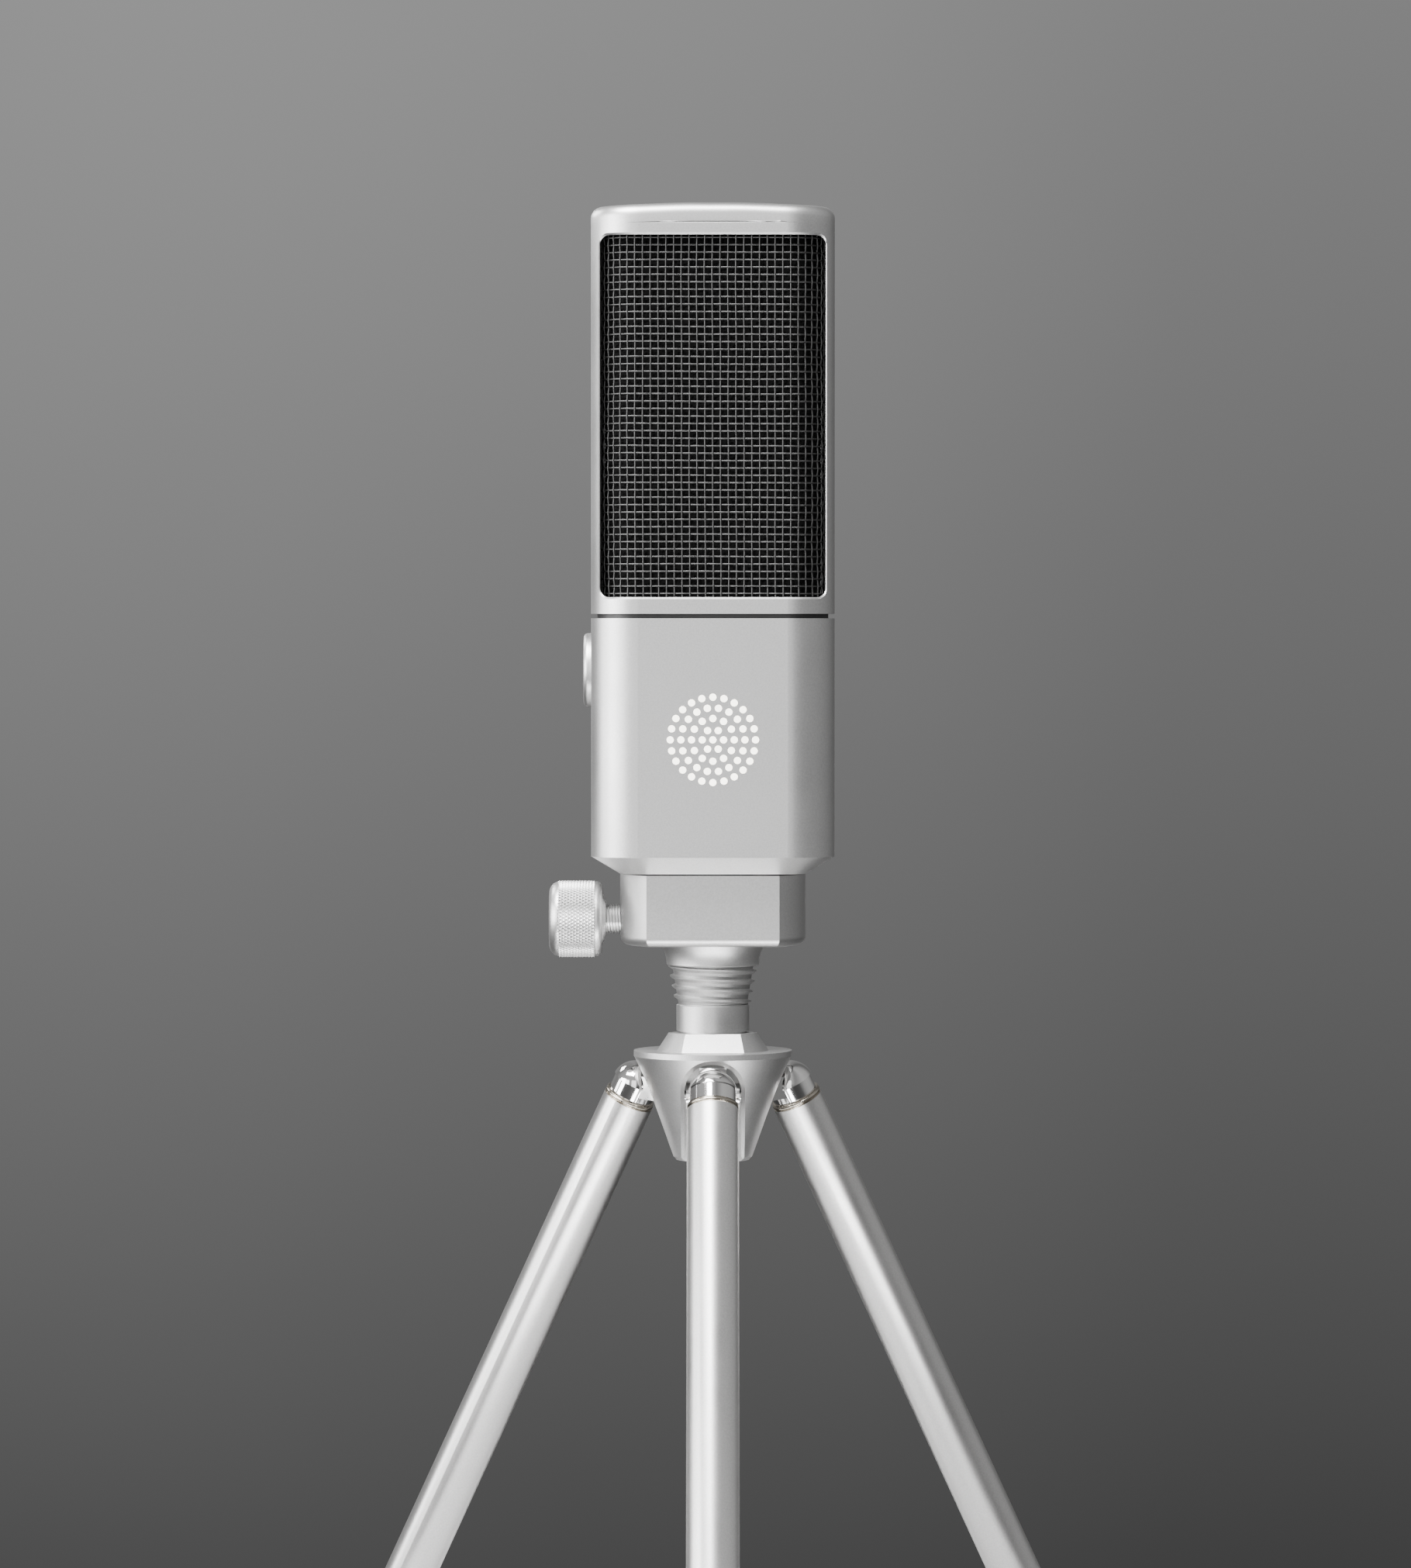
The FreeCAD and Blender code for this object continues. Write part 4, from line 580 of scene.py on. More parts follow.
class Bench:
    """The few modelling moves that every piece is made with.

    A thread's tooth is given as depth below the crest, in shares of the groove's depth, and height, in
    shares of the pitch.
    """

    MERGE_WITHIN = 0.002 * MM
    THREAD_STEPS = 72
    THREAD_RUN_IN = 1.5
    THREAD_SPARE_TURNS = 3
    TOOTH = ((1.0, 0.46), (0.25, 0.68), (0.0, 0.76), (0.0, 0.88), (1.0, 1.0))

    @staticmethod
    def clear() -> None:
        """Deselect everything and make nothing active."""
        if bpy.context.object is not None and bpy.context.object.mode != "OBJECT":
            bpy.ops.object.mode_set(mode="OBJECT")
        bpy.ops.object.select_all(action="DESELECT")
        bpy.context.view_layer.objects.active = None

    @staticmethod
    def pick(*pieces: bpy.types.Object) -> None:
        """Select these objects alone, and make the first one active.

        Args:
            *pieces: The objects to work on.
        """
        Bench.clear()
        for piece in pieces:
            piece.select_set(True)
        bpy.context.view_layer.objects.active = pieces[0]

    @staticmethod
    def edit(piece: bpy.types.Object, choose: Choose = Choose.POINTS) -> None:
        """Open a piece in edit mode with everything selected.

        Args:
            piece: The piece.
            choose: What is chosen next.
        """
        Bench.pick(piece)
        bpy.ops.object.mode_set(mode="EDIT")
        bpy.ops.mesh.select_mode(type=choose.value)
        bpy.ops.mesh.select_all(action="SELECT")

    @staticmethod
    def choose_points(piece: bpy.types.Object, test: Test) -> None:
        """Select the points of an open piece that a test accepts.

        Args:
            piece: The piece, in edit mode.
            test: Takes a point's place and says whether it is chosen.
        """
        mesh = bmesh.from_edit_mesh(piece.data)
        mesh.select_mode = {"VERT"}
        for vert in mesh.verts:
            vert.select = test(vert.co)
        mesh.select_flush(True)
        bmesh.update_edit_mesh(piece.data)

    @staticmethod
    def choose_edges(piece: bpy.types.Object, test: Callable[[Vector, Vector], bool]) -> None:
        """Select the edges of an open piece that a test accepts.

        Args:
            piece: The piece, in edit mode for edges.
            test: Takes the places of an edge's two ends and says whether it is chosen.
        """
        bpy.ops.mesh.select_all(action="DESELECT")
        mesh = bmesh.from_edit_mesh(piece.data)
        for edge in mesh.edges:
            edge.select_set(test(edge.verts[0].co, edge.verts[1].co))
        bmesh.update_edit_mesh(piece.data)

    @staticmethod
    def slice(place: Point, facing: Point) -> None:
        """Cut the open piece with a plane, keeping both halves.

        Args:
            place: A point of the plane.
            facing: The way it faces.
        """
        bpy.ops.mesh.select_all(action="SELECT")
        bpy.ops.mesh.bisect(plane_co=place, plane_no=facing)

    @staticmethod
    def slab(middle: Vector, size: Sequence[float]) -> bpy.types.Object:
        """Add a block to shape.

        Args:
            middle: Its middle.
            size: Its size along each axis.

        Returns:
            The block, unscaled.
        """
        Bench.clear()
        bpy.ops.mesh.primitive_cube_add(size=1.0, location=middle)
        piece = bpy.context.object
        piece.scale = size
        bpy.ops.object.transform_apply(location=True, rotation=True, scale=True)
        return piece

    @staticmethod
    def roughen(piece: bpy.types.Object, name: str, length: float, depth: float, push: Push) -> None:
        """Push a piece's skin about by a cloudy texture.

        Args:
            piece: The piece.
            name: The texture's name.
            length: The size of its clouds.
            depth: How far it pushes from end to end.
            push: The way it pushes.
        """
        clouds = bpy.data.textures.new(name, "CLOUDS")
        clouds.noise_scale = length
        Bench.apply(
            piece, "DISPLACE", texture=clouds, texture_coords="GLOBAL", direction=push.value, strength=depth,
            mid_level=0.5,
        )

    @staticmethod
    def close() -> None:
        """Leave edit mode."""
        bpy.ops.object.mode_set(mode="OBJECT")

    @staticmethod
    def settle(piece: bpy.types.Object, name: str) -> bpy.types.Object:
        """Name a piece and put its place into its mesh.

        Args:
            piece: The finished piece.
            name: Its name.

        Returns:
            The piece.
        """
        Bench.pick(piece)
        bpy.ops.object.transform_apply(location=True, rotation=True, scale=True)
        piece.name = name
        piece.data.name = name
        return piece

    @staticmethod
    def smooth(piece: bpy.types.Object, angle: float = 30.0) -> None:
        """Shade a piece smooth except at its edges.

        Args:
            piece: The piece.
            angle: Faces that meet at more than this, in degrees, keep a sharp edge.
        """
        Bench.pick(piece)
        bpy.ops.object.shade_smooth_by_angle(angle=math.radians(angle))

    @staticmethod
    def apply(piece: bpy.types.Object, kind: str, **settings: object) -> None:
        """Add a modifier and apply it.

        Args:
            piece: The piece.
            kind: The modifier's type.
            **settings: The modifier's settings.
        """
        Bench.pick(piece)
        modifier = piece.modifiers.new(kind.lower(), kind)
        for key, value in settings.items():
            setattr(modifier, key, value)
        bpy.ops.object.modifier_apply(modifier=modifier.name)

    @staticmethod
    def path(points: Sequence[Vector]) -> bpy.types.Object:
        """Draw a line through points by extruding one corner along it.

        Args:
            points: The points in order.

        Returns:
            The open line.
        """
        Bench.clear()
        bpy.ops.mesh.primitive_plane_add(size=MM, location=points[0])
        piece = bpy.context.object
        bpy.ops.object.transform_apply(location=True)
        Bench.edit(piece)
        bpy.ops.mesh.merge(type="CENTER")
        for here, there in zip(points, points[1:]):
            bpy.ops.mesh.extrude_region_move(TRANSFORM_OT_translate={"value": there - here})
        Bench.close()
        return piece

    @staticmethod
    def outline(points: Outline) -> bpy.types.Object:
        """Draw an outline in the plane through the upright axis.

        Args:
            points: Radius and height of each point.

        Returns:
            The open line.
        """
        return Bench.path([Vector((radius, 0.0, height)) for radius, height in points])

    @staticmethod
    def tidy(piece: bpy.types.Object) -> None:
        """Merge doubles and point all faces outwards.

        Args:
            piece: The piece.
        """
        Bench.edit(piece)
        bpy.ops.mesh.remove_doubles(threshold=Bench.MERGE_WITHIN)
        bpy.ops.mesh.normals_make_consistent(inside=False)
        Bench.close()

    @staticmethod
    def turn(points: Outline, steps: int) -> bpy.types.Object:
        """Turn an outline about the upright axis, as on a lathe.

        Args:
            points: Radius and height of each point.
            steps: How many steps go round.

        Returns:
            The turned piece.
        """
        piece = Bench.outline(points)
        Bench.edit(piece)
        bpy.ops.mesh.spin(steps=steps, angle=FULL_TURN, center=(0, 0, 0), axis=(0, 0, 1), dupli=False)
        Bench.close()
        Bench.tidy(piece)
        return piece

    @staticmethod
    def thread(
        crest: float, depth: float, pitch: float, low: float, high: float, hand: Hand = Hand.RIGHT,
        starts: int = 1,
    ) -> bpy.types.Object:
        """Cut a screw thread: one tooth wound up the axis and trimmed level at both ends.

        Args:
            crest: The radius over the crests.
            depth: How deep the groove is.
            pitch: The height of one turn.
            low: The foot's height.
            high: The top's height.
            hand: The way it is wound.
            starts: How many teeth share one turn.

        Returns:
            The threaded rod, closed at both ends.
        """
        start = low - pitch * Bench.THREAD_RUN_IN
        steps = [(crest - depth, start)]
        for number in range(starts):
            for sunk, share in Bench.TOOTH:
                steps.append((crest - depth * sunk, start + (share + number) * pitch / starts))
        piece = Bench.outline(steps)
        turns = math.ceil((high - low) / pitch) + Bench.THREAD_SPARE_TURNS
        if hand is Hand.LEFT:
            piece.location.z = turns * pitch
            bpy.ops.object.transform_apply(location=True)
        Bench.apply(
            piece, "SCREW", axis="Z", screw_offset=hand.value * pitch, iterations=turns,
            steps=Bench.THREAD_STEPS, render_steps=Bench.THREAD_STEPS, angle=FULL_TURN,
            use_merge_vertices=True, merge_threshold=Bench.MERGE_WITHIN / 2,
        )
        Bench.tidy(piece)
        for height, up in ((low, -1.0), (high, 1.0)):
            Bench.edit(piece)
            bpy.ops.mesh.bisect(
                plane_co=(0, 0, height), plane_no=(0, 0, up), clear_outer=True, use_fill=True
            )
            Bench.close()
        Bench.tidy(piece)
        return piece

    @staticmethod
    def join(pieces: Sequence[bpy.types.Object]) -> bpy.types.Object:
        """Join pieces into the first one.

        Args:
            pieces: The pieces.

        Returns:
            The joined piece.
        """
        Bench.pick(*pieces)
        bpy.ops.object.join()
        return bpy.context.object

    @staticmethod
    def copy(piece: bpy.types.Object, shift: Vector = Vector(), turn: float = 0.0) -> bpy.types.Object:
        """Copy a piece with its own mesh, turned about the upright axis and shifted.

        Args:
            piece: The piece to copy.
            shift: How far the copy is moved.
            turn: How far it is turned first, in radians.

        Returns:
            The copy.
        """
        Bench.pick(piece)
        bpy.ops.object.duplicate(linked=False)
        twin = bpy.context.object
        twin.rotation_euler = (0, 0, turn)
        twin.location = shift
        return twin


def arc(
    centre_r: float, centre_z: float, radius: float, start: float, end: float, steps: int
) -> Outline:
    """List points round an arc of an outline.

    Args:
        centre_r: The arc's centre, from the axis.
        centre_z: The arc's centre, in height.
        radius: Its radius.
        start: Where it starts, in degrees from outwards towards up.
        end: Where it ends.
        steps: How many steps it has.

    Returns:
        Radius and height of each point.
    """
    points = []
    for step in range(steps + 1):
        angle = math.radians(start + (end - start) * step / steps)
        points.append((centre_r + radius * math.cos(angle), centre_z + radius * math.sin(angle)))
    return points


def dress(piece: bpy.types.Object, finish: Finish) -> None:
    """Give an object one finish all over.

    Args:
        piece: The object.
        finish: Its finish.
    """
    piece.data.materials.clear()
    piece.data.materials.append(finish.build())


def mount(piece: bpy.types.Object, body: str, finish: Finish, *nodes: str) -> None:
    """Dress a new piece and fasten it to its body.

    Args:
        piece: The finished piece.
        body: The CAD body that it moves with.
        finish: Its finish, which is also its slot.
        *nodes: The CAD nodes that it stands for.
    """
    dress(piece, finish)
    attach(piece, body)
    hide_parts(*nodes)
    LOG.info("%s rides on %s: %d faces", piece.name, body, len(piece.data.polygons))


# ---------------------------------------------------------------- head
@dataclass
class CasingOutline:
    """The casing's rounded rectangle, drawn in by an inset."""

    inset: float
    body_corner: float = 10.5 * MM
    half_x: float = field(init=False)
    half_y: float = field(init=False)
    corner: float = field(init=False)

    def __post_init__(self) -> None:
        """Take the casing's size from the frame."""
        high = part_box("head_frame")[1]
        self.half_x = high.x - self.inset
        self.half_y = high.y - self.inset
        self.corner = self.body_corner - self.inset

    def station(self, share: float) -> tuple[Vector, float]:
        """Find a point on the outline.

        Args:
            share: How far round it is, from 0 to 1, from the middle of the front.

        Returns:
            The point, and the way its skin faces, in radians from the front.
        """
        straight_x = self.half_x - self.corner
        straight_y = self.half_y - self.corner
        quarter = QUARTER_TURN * self.corner
        run = (share % 1.0) * self.length()
        turn = 0.0
        spot = Vector((0.0, -self.half_y, 0.0))
        sides = (straight_x, 2 * straight_y, 2 * straight_x, 2 * straight_y, straight_x)
        for number, side in enumerate(sides):
            along = Vector((math.cos(turn), math.sin(turn), 0.0))
            if run <= side or number == len(sides) - 1:
                return spot + along * run, turn
            run -= side
            spot += along * side
            inward = Vector((-along.y, along.x, 0.0)) * self.corner
            if run <= quarter:
                angle = turn + run / self.corner
                out = Vector((math.sin(angle), -math.cos(angle), 0.0))
                return spot + inward + out * self.corner, angle
            run -= quarter
            turn += QUARTER_TURN
            spot += inward + Vector((math.sin(turn), -math.cos(turn), 0.0)) * self.corner
        return spot, turn

    def length(self) -> float:
        """Return the outline's length."""
        straight = self.half_x + self.half_y - 2 * self.corner
        return 4 * straight + FULL_TURN * self.corner


@dataclass
class WovenBasket:
    """The woven wire basket behind the windows."""

    column_pitch: float = 1.73 * MM
    row_pitch: float = 1.582 * MM
    wire: float = 0.195 * MM
    crimp: float = 0.11 * MM
    wander: float = 0.6 * MM
    wander_length: float = 0.030
    wander_stagger: float = 0.4
    inset: float = 2.15 * MM
    outline: CasingOutline = field(init=False)
    columns: int = field(init=False)
    rows: int = field(init=False)
    foot: float = field(init=False)
    height: float = field(init=False)

    def __post_init__(self) -> None:
        """Fit whole numbers of wires to the basket's box."""
        low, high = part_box("mesh_basket")
        end_gap = self.wire * 1.5
        self.outline = CasingOutline(self.inset)
        self.columns = 2 * round(self.outline.length() / self.column_pitch / 2)
        self.foot = low.z + end_gap
        self.height = high.z - low.z - 2 * end_gap
        self.rows = round(self.height / self.row_pitch)

    def level(self, row: float) -> float:
        """Return a hoop's height."""
        return self.foot + self.height * row / (self.rows - 1)

    def weave(self, step: int, parity: int) -> float:
        """Return how far a wire stands out at a step: over, level, under, level and so on.

        Args:
            step: The step along the wire, from 0.
            parity: 0 or 1: whether it starts over or under.

        Returns:
            How far it stands out.
        """
        if step % 2:
            return 0.0
        return self.crimp if (step // 2 + parity) % 2 else -self.crimp

    def wire_along(self, points: Sequence[Vector], closed: bool) -> bpy.types.Object:
        """Draw one wire along its path and give it its thickness.

        Args:
            points: The path's points.
            closed: Whether it is a closed hoop.

        Returns:
            The wire as a mesh.
        """
        piece = Bench.path(points)
        if closed:
            ends = (points[0], points[-1])
            Bench.edit(piece)
            Bench.choose_points(piece, lambda spot: min((spot - end).length for end in ends) < HAIR)
            bpy.ops.mesh.edge_face_add()
            Bench.close()
        Bench.pick(piece)
        bpy.ops.object.convert(target="CURVE")
        curve = bpy.context.object.data
        curve.bevel_depth = self.wire
        curve.bevel_resolution = 1
        curve.use_fill_caps = True
        bpy.ops.object.convert(target="MESH")
        bpy.ops.object.shade_smooth()
        return bpy.context.object

    def hoop(self, parity: int) -> bpy.types.Object:
        """Draw one hoop, over and under the uprights.

        Args:
            parity: 0 or 1: whether it starts over or under.

        Returns:
            The hoop, at floor level.
        """
        points = []
        for step in range(self.columns * 2):
            spot, turn = self.outline.station(step / (self.columns * 2))
            out = Vector((math.sin(turn), -math.cos(turn), 0.0))
            points.append(spot + out * self.weave(step, parity))
        return self.wire_along(points, True)

    def upright(self, parity: int) -> bpy.types.Object:
        """Draw one upright, standing on the axis and facing the front.

        Args:
            parity: 0 or 1: whether it starts over or under.

        Returns:
            The upright.
        """
        steps = range(self.rows * 2 - 1)
        points = [Vector((0.0, self.weave(step, parity), self.level(step / 2))) for step in steps]
        return self.wire_along(points, False)

    def finish_set(
        self, patterns: Sequence[bpy.types.Object], places: Sequence[tuple[Vector, float]], name: str
    ) -> None:
        """Copy two wires by turns to their places, and let the whole set wander as a hand-woven one does.

        Args:
            patterns: The wire that starts over and the one that starts under, both used up.
            places: Where each copy goes, and how far it is turned.
            name: The set's name.
        """
        wires = [Bench.copy(patterns[number % 2], *place) for number, place in enumerate(places)]
        for spare in patterns:
            bpy.data.objects.remove(spare)
        whole = Bench.settle(Bench.join(wires), name)
        for number, push in enumerate((Push.SIDEWAYS, Push.UPWARDS)):
            length = self.wander_length * (1.0 + self.wander_stagger * number)
            Bench.roughen(whole, "wander_%d" % number, length, self.wander, push)
        mount(whole, "microphone", WIRE, "mesh_basket")

    def build(self) -> None:
        """Make the hoops and the uprights."""
        heights = [(Vector((0, 0, self.level(row))), 0.0) for row in range(self.rows)]
        self.finish_set([self.hoop(parity) for parity in (0, 1)], heights, "basket_hoops")
        stations = [self.outline.station(column / self.columns) for column in range(self.columns)]
        self.finish_set([self.upright(parity) for parity in (0, 1)], stations, "basket_uprights")


@dataclass
class Lid:
    """The casing's lid: a rounded slab with a soft upper edge and a slightly crowned top."""

    corner_steps: int = 12
    edge_round: float = 2.4 * MM
    edge_steps: int = 6
    seam: float = 0.34 * MM
    seam_steps: int = 2
    crown: float = 0.6 * MM
    crown_reach: float = 0.021
    slices: int = 20
    sharp_angle: float = 20.0

    def build(self) -> None:
        """Round the slab's corners and edges, slice it, and draw its ends down."""
        low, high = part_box("top_cap")
        top = high.z
        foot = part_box("head_frame")[1].z
        outline = CasingOutline(inset=0.0)
        size = (high.x - low.x, high.y - low.y, top - foot)
        piece = Bench.slab(Vector((0.0, 0.0, (foot + top) / 2)), size)
        for test, offset, steps in (
            (lambda first, second: abs(first.z - second.z) > MM, outline.corner, self.corner_steps),
            (lambda first, second: min(first.z, second.z) > top - HAIR, self.edge_round, self.edge_steps),
            (lambda first, second: max(first.z, second.z) < foot + HAIR, self.seam, self.seam_steps),
        ):
            Bench.edit(piece, Choose.EDGES)
            Bench.choose_edges(piece, test)
            bpy.ops.mesh.bevel(offset=offset, segments=steps, affect="EDGES")
        reach = outline.half_x - outline.corner
        for number in range(1, self.slices):
            Bench.slice((reach * (2 * number / self.slices - 1), 0, 0), (1, 0, 0))
        Bench.choose_points(piece, lambda spot: spot.z < top - self.edge_round - HAIR)
        bpy.ops.mesh.hide()
        Bench.choose_points(piece, lambda spot: abs(spot.x) > outline.half_x - self.edge_round)
        bpy.ops.transform.translate(
            value=(0.0, 0.0, -self.crown), use_proportional_edit=True, proportional_edit_falloff="SMOOTH",
            proportional_size=self.crown_reach,
        )
        bpy.ops.mesh.reveal()
        Bench.close()
        Bench.tidy(piece)
        Bench.smooth(piece, self.sharp_angle)
        mount(Bench.settle(piece, "lid"), "microphone", CASING, "top_cap")


@dataclass
class FoamLiner:
    """The sleeve of open-cell foam inside the basket."""

    corner_steps: int = 10
    rows: int = 60
    columns: int = 22
    wall: float = 2.0 * MM
    skin_gap: float = 0.12 * MM
    cells: float = 0.22 * MM
    cell_length: float = 0.0013
    sharp_angle: float = 60.0

    def build(self) -> None:
        """Make the sleeve: a rounded tube with a rough skin and a thick wall."""
        low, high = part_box("foam_liner")
        tall = high.z - low.z
        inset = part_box("head_frame")[1].x - high.x + self.skin_gap + self.cells
        outline = CasingOutline(inset)
        size = (outline.half_x * 2, outline.half_y * 2, tall - 2 * self.cells)
        piece = Bench.slab((low + high) / 2, size)
        Bench.edit(piece, Choose.EDGES)
        Bench.choose_edges(piece, lambda first, second: abs(first.z - second.z) > tall / 2)
        bpy.ops.mesh.bevel(offset=outline.corner, segments=self.corner_steps, affect="EDGES")
        bpy.ops.mesh.select_mode(type=Choose.FACES.value)
        bpy.ops.mesh.select_all(action="DESELECT")
        mesh = bmesh.from_edit_mesh(piece.data)
        for face in mesh.faces:
            face.select_set(abs(face.normal.z) > 0.5)
        bmesh.update_edit_mesh(piece.data)
        bpy.ops.mesh.delete(type="FACE")
        for row in range(1, self.rows):
            Bench.slice((0, 0, low.z + tall * row / self.rows), (0, 0, 1))
        for reach, facing in (
            (outline.half_x - outline.corner, Vector((1, 0, 0))),
            (outline.half_y - outline.corner, Vector((0, 1, 0))),
        ):
            for column in range(1, self.columns):
                Bench.slice(facing * reach * (2 * column / self.columns - 1), facing)
        Bench.close()
        Bench.tidy(piece)
        Bench.roughen(piece, "foam_cells", self.cell_length, self.cells, Push.OUTWARDS)
        Bench.apply(piece, "SOLIDIFY", thickness=self.wall, offset=-1.0, use_rim=True)
        Bench.smooth(piece, self.sharp_angle)
        Bench.settle(piece, "foam_sleeve")
        mount(piece, "microphone", FOAM, "foam_liner")


# ---------------------------------------------------------------- clamp
@dataclass
class Thumbscrew:
    """The knurled knob and its threaded shank, on the microphone's left.

    The dish in the knob's end runs between two radii, given as shares of the knob's own.
    """

    seat_gap: float = 0.1 * MM
    shoulder: float = 1.35 * MM
    face_grooves: int = 4
    groove_depth: float = 0.1 * MM
    groove_width: float = 0.12 * MM
    knurls: int = 68
    knurl_rows: int = 13
    knurl_depth: float = 0.24 * MM
    knurl_inset: float = 2.2 * MM
    knurl_sharp_angle: float = 9.0
    near: float = 0.01
    rim: float = 1.15 * MM
    rim_gap: float = 0.2 * MM
    rim_groove: float = 0.25 * MM
    outer_round: float = 2.4 * MM
    inner_round: float = 1.5 * MM
    dish: float = 0.35 * MM
    dish_edges: tuple[float, float] = (0.62, 0.56)
    pitch: float = 1.27 * MM
    thread_depth: float = 0.45 * MM
    thread_sharp_angle: float = 35.0
    starts: int = 2
    laid_left: Point = (0.0, -QUARTER_TURN, 0.0)
    axis: Vector = field(init=False)

    def __post_init__(self) -> None:
        """Take the height of the screw's axis from the frame."""
        low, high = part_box("thumbscrew_knob")
        self.axis = Vector((0, 0, (low.z + high.z) / 2))

    def lay(self, piece: bpy.types.Object, name: str) -> bpy.types.Object:
        """Lay an upright turned piece along the screw's axis, its top to the left.

        Args:
            piece: The piece, turned about the upright axis.
            name: Its name.

        Returns:
            The piece.
        """
        piece.rotation_euler = self.laid_left
        piece.location = self.axis
        return Bench.settle(piece, name)

    def build(self) -> None:
        """Make the knob and the shank."""
        rod_low, rod_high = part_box("thumbscrew_shank")
        rod_radius = (rod_high.z - rod_low.z) / 2
        self.knob(rod_radius + self.seat_gap)
        rod = Bench.thread(
            rod_radius, self.thread_depth, self.pitch, -rod_high.x, -rod_low.x, starts=self.starts
        )
        Bench.smooth(rod, self.thread_sharp_angle)
        mount(self.lay(rod, "shank_threaded"), "thumbscrew", KNURLED, "thumbscrew_shank")

    def knob(self, seat: float) -> None:
        """Turn the knob, and raise the peaks of its knurl.

        Args:
            seat: The radius of the flat round the shank.
        """
        low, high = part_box("thumbscrew_knob")
        full = (high.z - low.z) / 2
        top, foot = -low.x, -high.x
        shoulder = foot + self.shoulder
        bare = full - self.knurl_depth
        band_low, band_high = shoulder + self.rim + self.rim_gap, top - self.knurl_inset
        row = (band_high - band_low) / (self.knurl_rows - 1)
        profile = [(0.0, foot), (seat, foot)]
        inner, outer, wide = self.inner_round, self.outer_round, self.groove_width
        parts = self.face_grooves + 1
        for ring in range(1, parts):
            radius = seat + (bare - inner - seat) * ring / parts
            height = foot + (shoulder - foot) * ring / parts
            profile += [(radius, height - self.groove_depth), (radius + wide, height + wide)]
        profile += arc(bare - inner, shoulder + inner * 0.6, inner, -60, 0, 6)
        profile += [(bare, band_low - self.rim_groove), (bare - wide, band_low - wide)]
        profile += [(bare, band_low + row * number) for number in range(self.knurl_rows)]
        profile += arc(bare - outer, top - outer, outer, 4, 90, 10)
        edge, floor = self.dish_edges
        profile += [(full * edge, top), (full * floor, top - self.dish), (0.0, top - self.dish)]
        knob = Bench.turn(profile, steps=self.knurls * 2)
        step = math.pi / self.knurls

        def peak(spot: Vector) -> bool:
            """Return whether a point is a peak of the knurl: every other one, as on a chessboard.

            Args:
                spot: The point's place.

            Returns:
                Whether it is a peak.
            """
            place = (spot.z - band_low) / row
            on_band = -self.near < place < self.knurl_rows - 1 + self.near
            if not on_band or math.hypot(spot.x, spot.y) < bare - HAIR:
                return False
            return (round(place) + round(math.atan2(spot.y, spot.x) / step)) % 2 == 0

        Bench.edit(knob)
        Bench.choose_points(knob, peak)
        swell = full / bare
        bpy.ops.transform.resize(value=(swell, swell, 1.0), center_override=(0, 0, 0))
        bpy.ops.mesh.select_all(action="SELECT")
        bpy.ops.mesh.quads_convert_to_tris(quad_method="SHORTEST_DIAGONAL")
        Bench.close()
        Bench.smooth(knob, self.knurl_sharp_angle)
        mount(self.lay(knob, "knob_knurled"), "thumbscrew", KNURLED, "thumbscrew_knob")


# ---------------------------------------------------------------- column
@dataclass
class NeckStem:
    """The flared neck under the clamp block, with its coarse thread."""

    thread_height: float = 8.7 * MM
    top_crest: float = 10.05 * MM
    foot_crest: float = 8.4 * MM
    depth: float = 0.85 * MM
    pitch: float = 2.25 * MM
    flare_foot: float = 10.35 * MM
    flare_steps: int = 8
    flare_dip: float = 0.28 * MM
    flare_turn_steps: int = 128
    flare_sharp_angle: float = 30.0
    thread_sharp_angle: float = 18.0
    overlap: float = 0.2 * MM
    chamfer: tuple[float, float] = (0.35 * MM, 0.3 * MM)
    lip: float = 0.45 * MM

    def build(self) -> None:
        """Make the thread and the flare above it."""
        low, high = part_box("neck_stem")
        neck = low.z + self.thread_height
        middle = (low.z + neck) / 2
        mean = (self.top_crest + self.foot_crest) / 2
        half = (neck - low.z) / 2
        thread = Bench.thread(mean, self.depth, self.pitch, -half, half + self.overlap, Hand.LEFT)
        Bench.apply(
            thread, "SIMPLE_DEFORM", deform_method="TAPER", deform_axis="Z",
            factor=(self.top_crest - self.foot_crest) / mean,
        )
        thread.location.z = middle
        Bench.settle(thread, "neck_thread")
        Bench.smooth(thread, self.thread_sharp_angle)
        inwards, upwards = self.chamfer
        flare = [(0.0, neck), (self.flare_foot - inwards, neck), (self.flare_foot, neck + upwards)]
        for step in range(self.flare_steps + 1):
            share = step / self.flare_steps
            dip = self.flare_dip * math.sin(math.pi * share)
            radius = self.flare_foot + (high.x - self.flare_foot) * share - dip
            flare.append((radius, neck + self.lip + (high.z - neck - self.lip) * share))
        flare.append((0.0, high.z))
        bell = Bench.turn(flare, self.flare_turn_steps)
        Bench.smooth(bell, self.flare_sharp_angle)
        stem = Bench.join([bell, thread])
        mount(Bench.settle(stem, "neck_threaded"), "stand", STAND, "neck_stem")


# ---------------------------------------------------------------- legs
class Leg(Enum):
    """The three legs, by how far each is turned from the front one."""

    FRONT = 0
    RIGHT = 1
    LEFT = 2

    @property
    def body(self) -> str:
        """Return the name of the leg's body."""
        return self.name.lower() + "_leg"


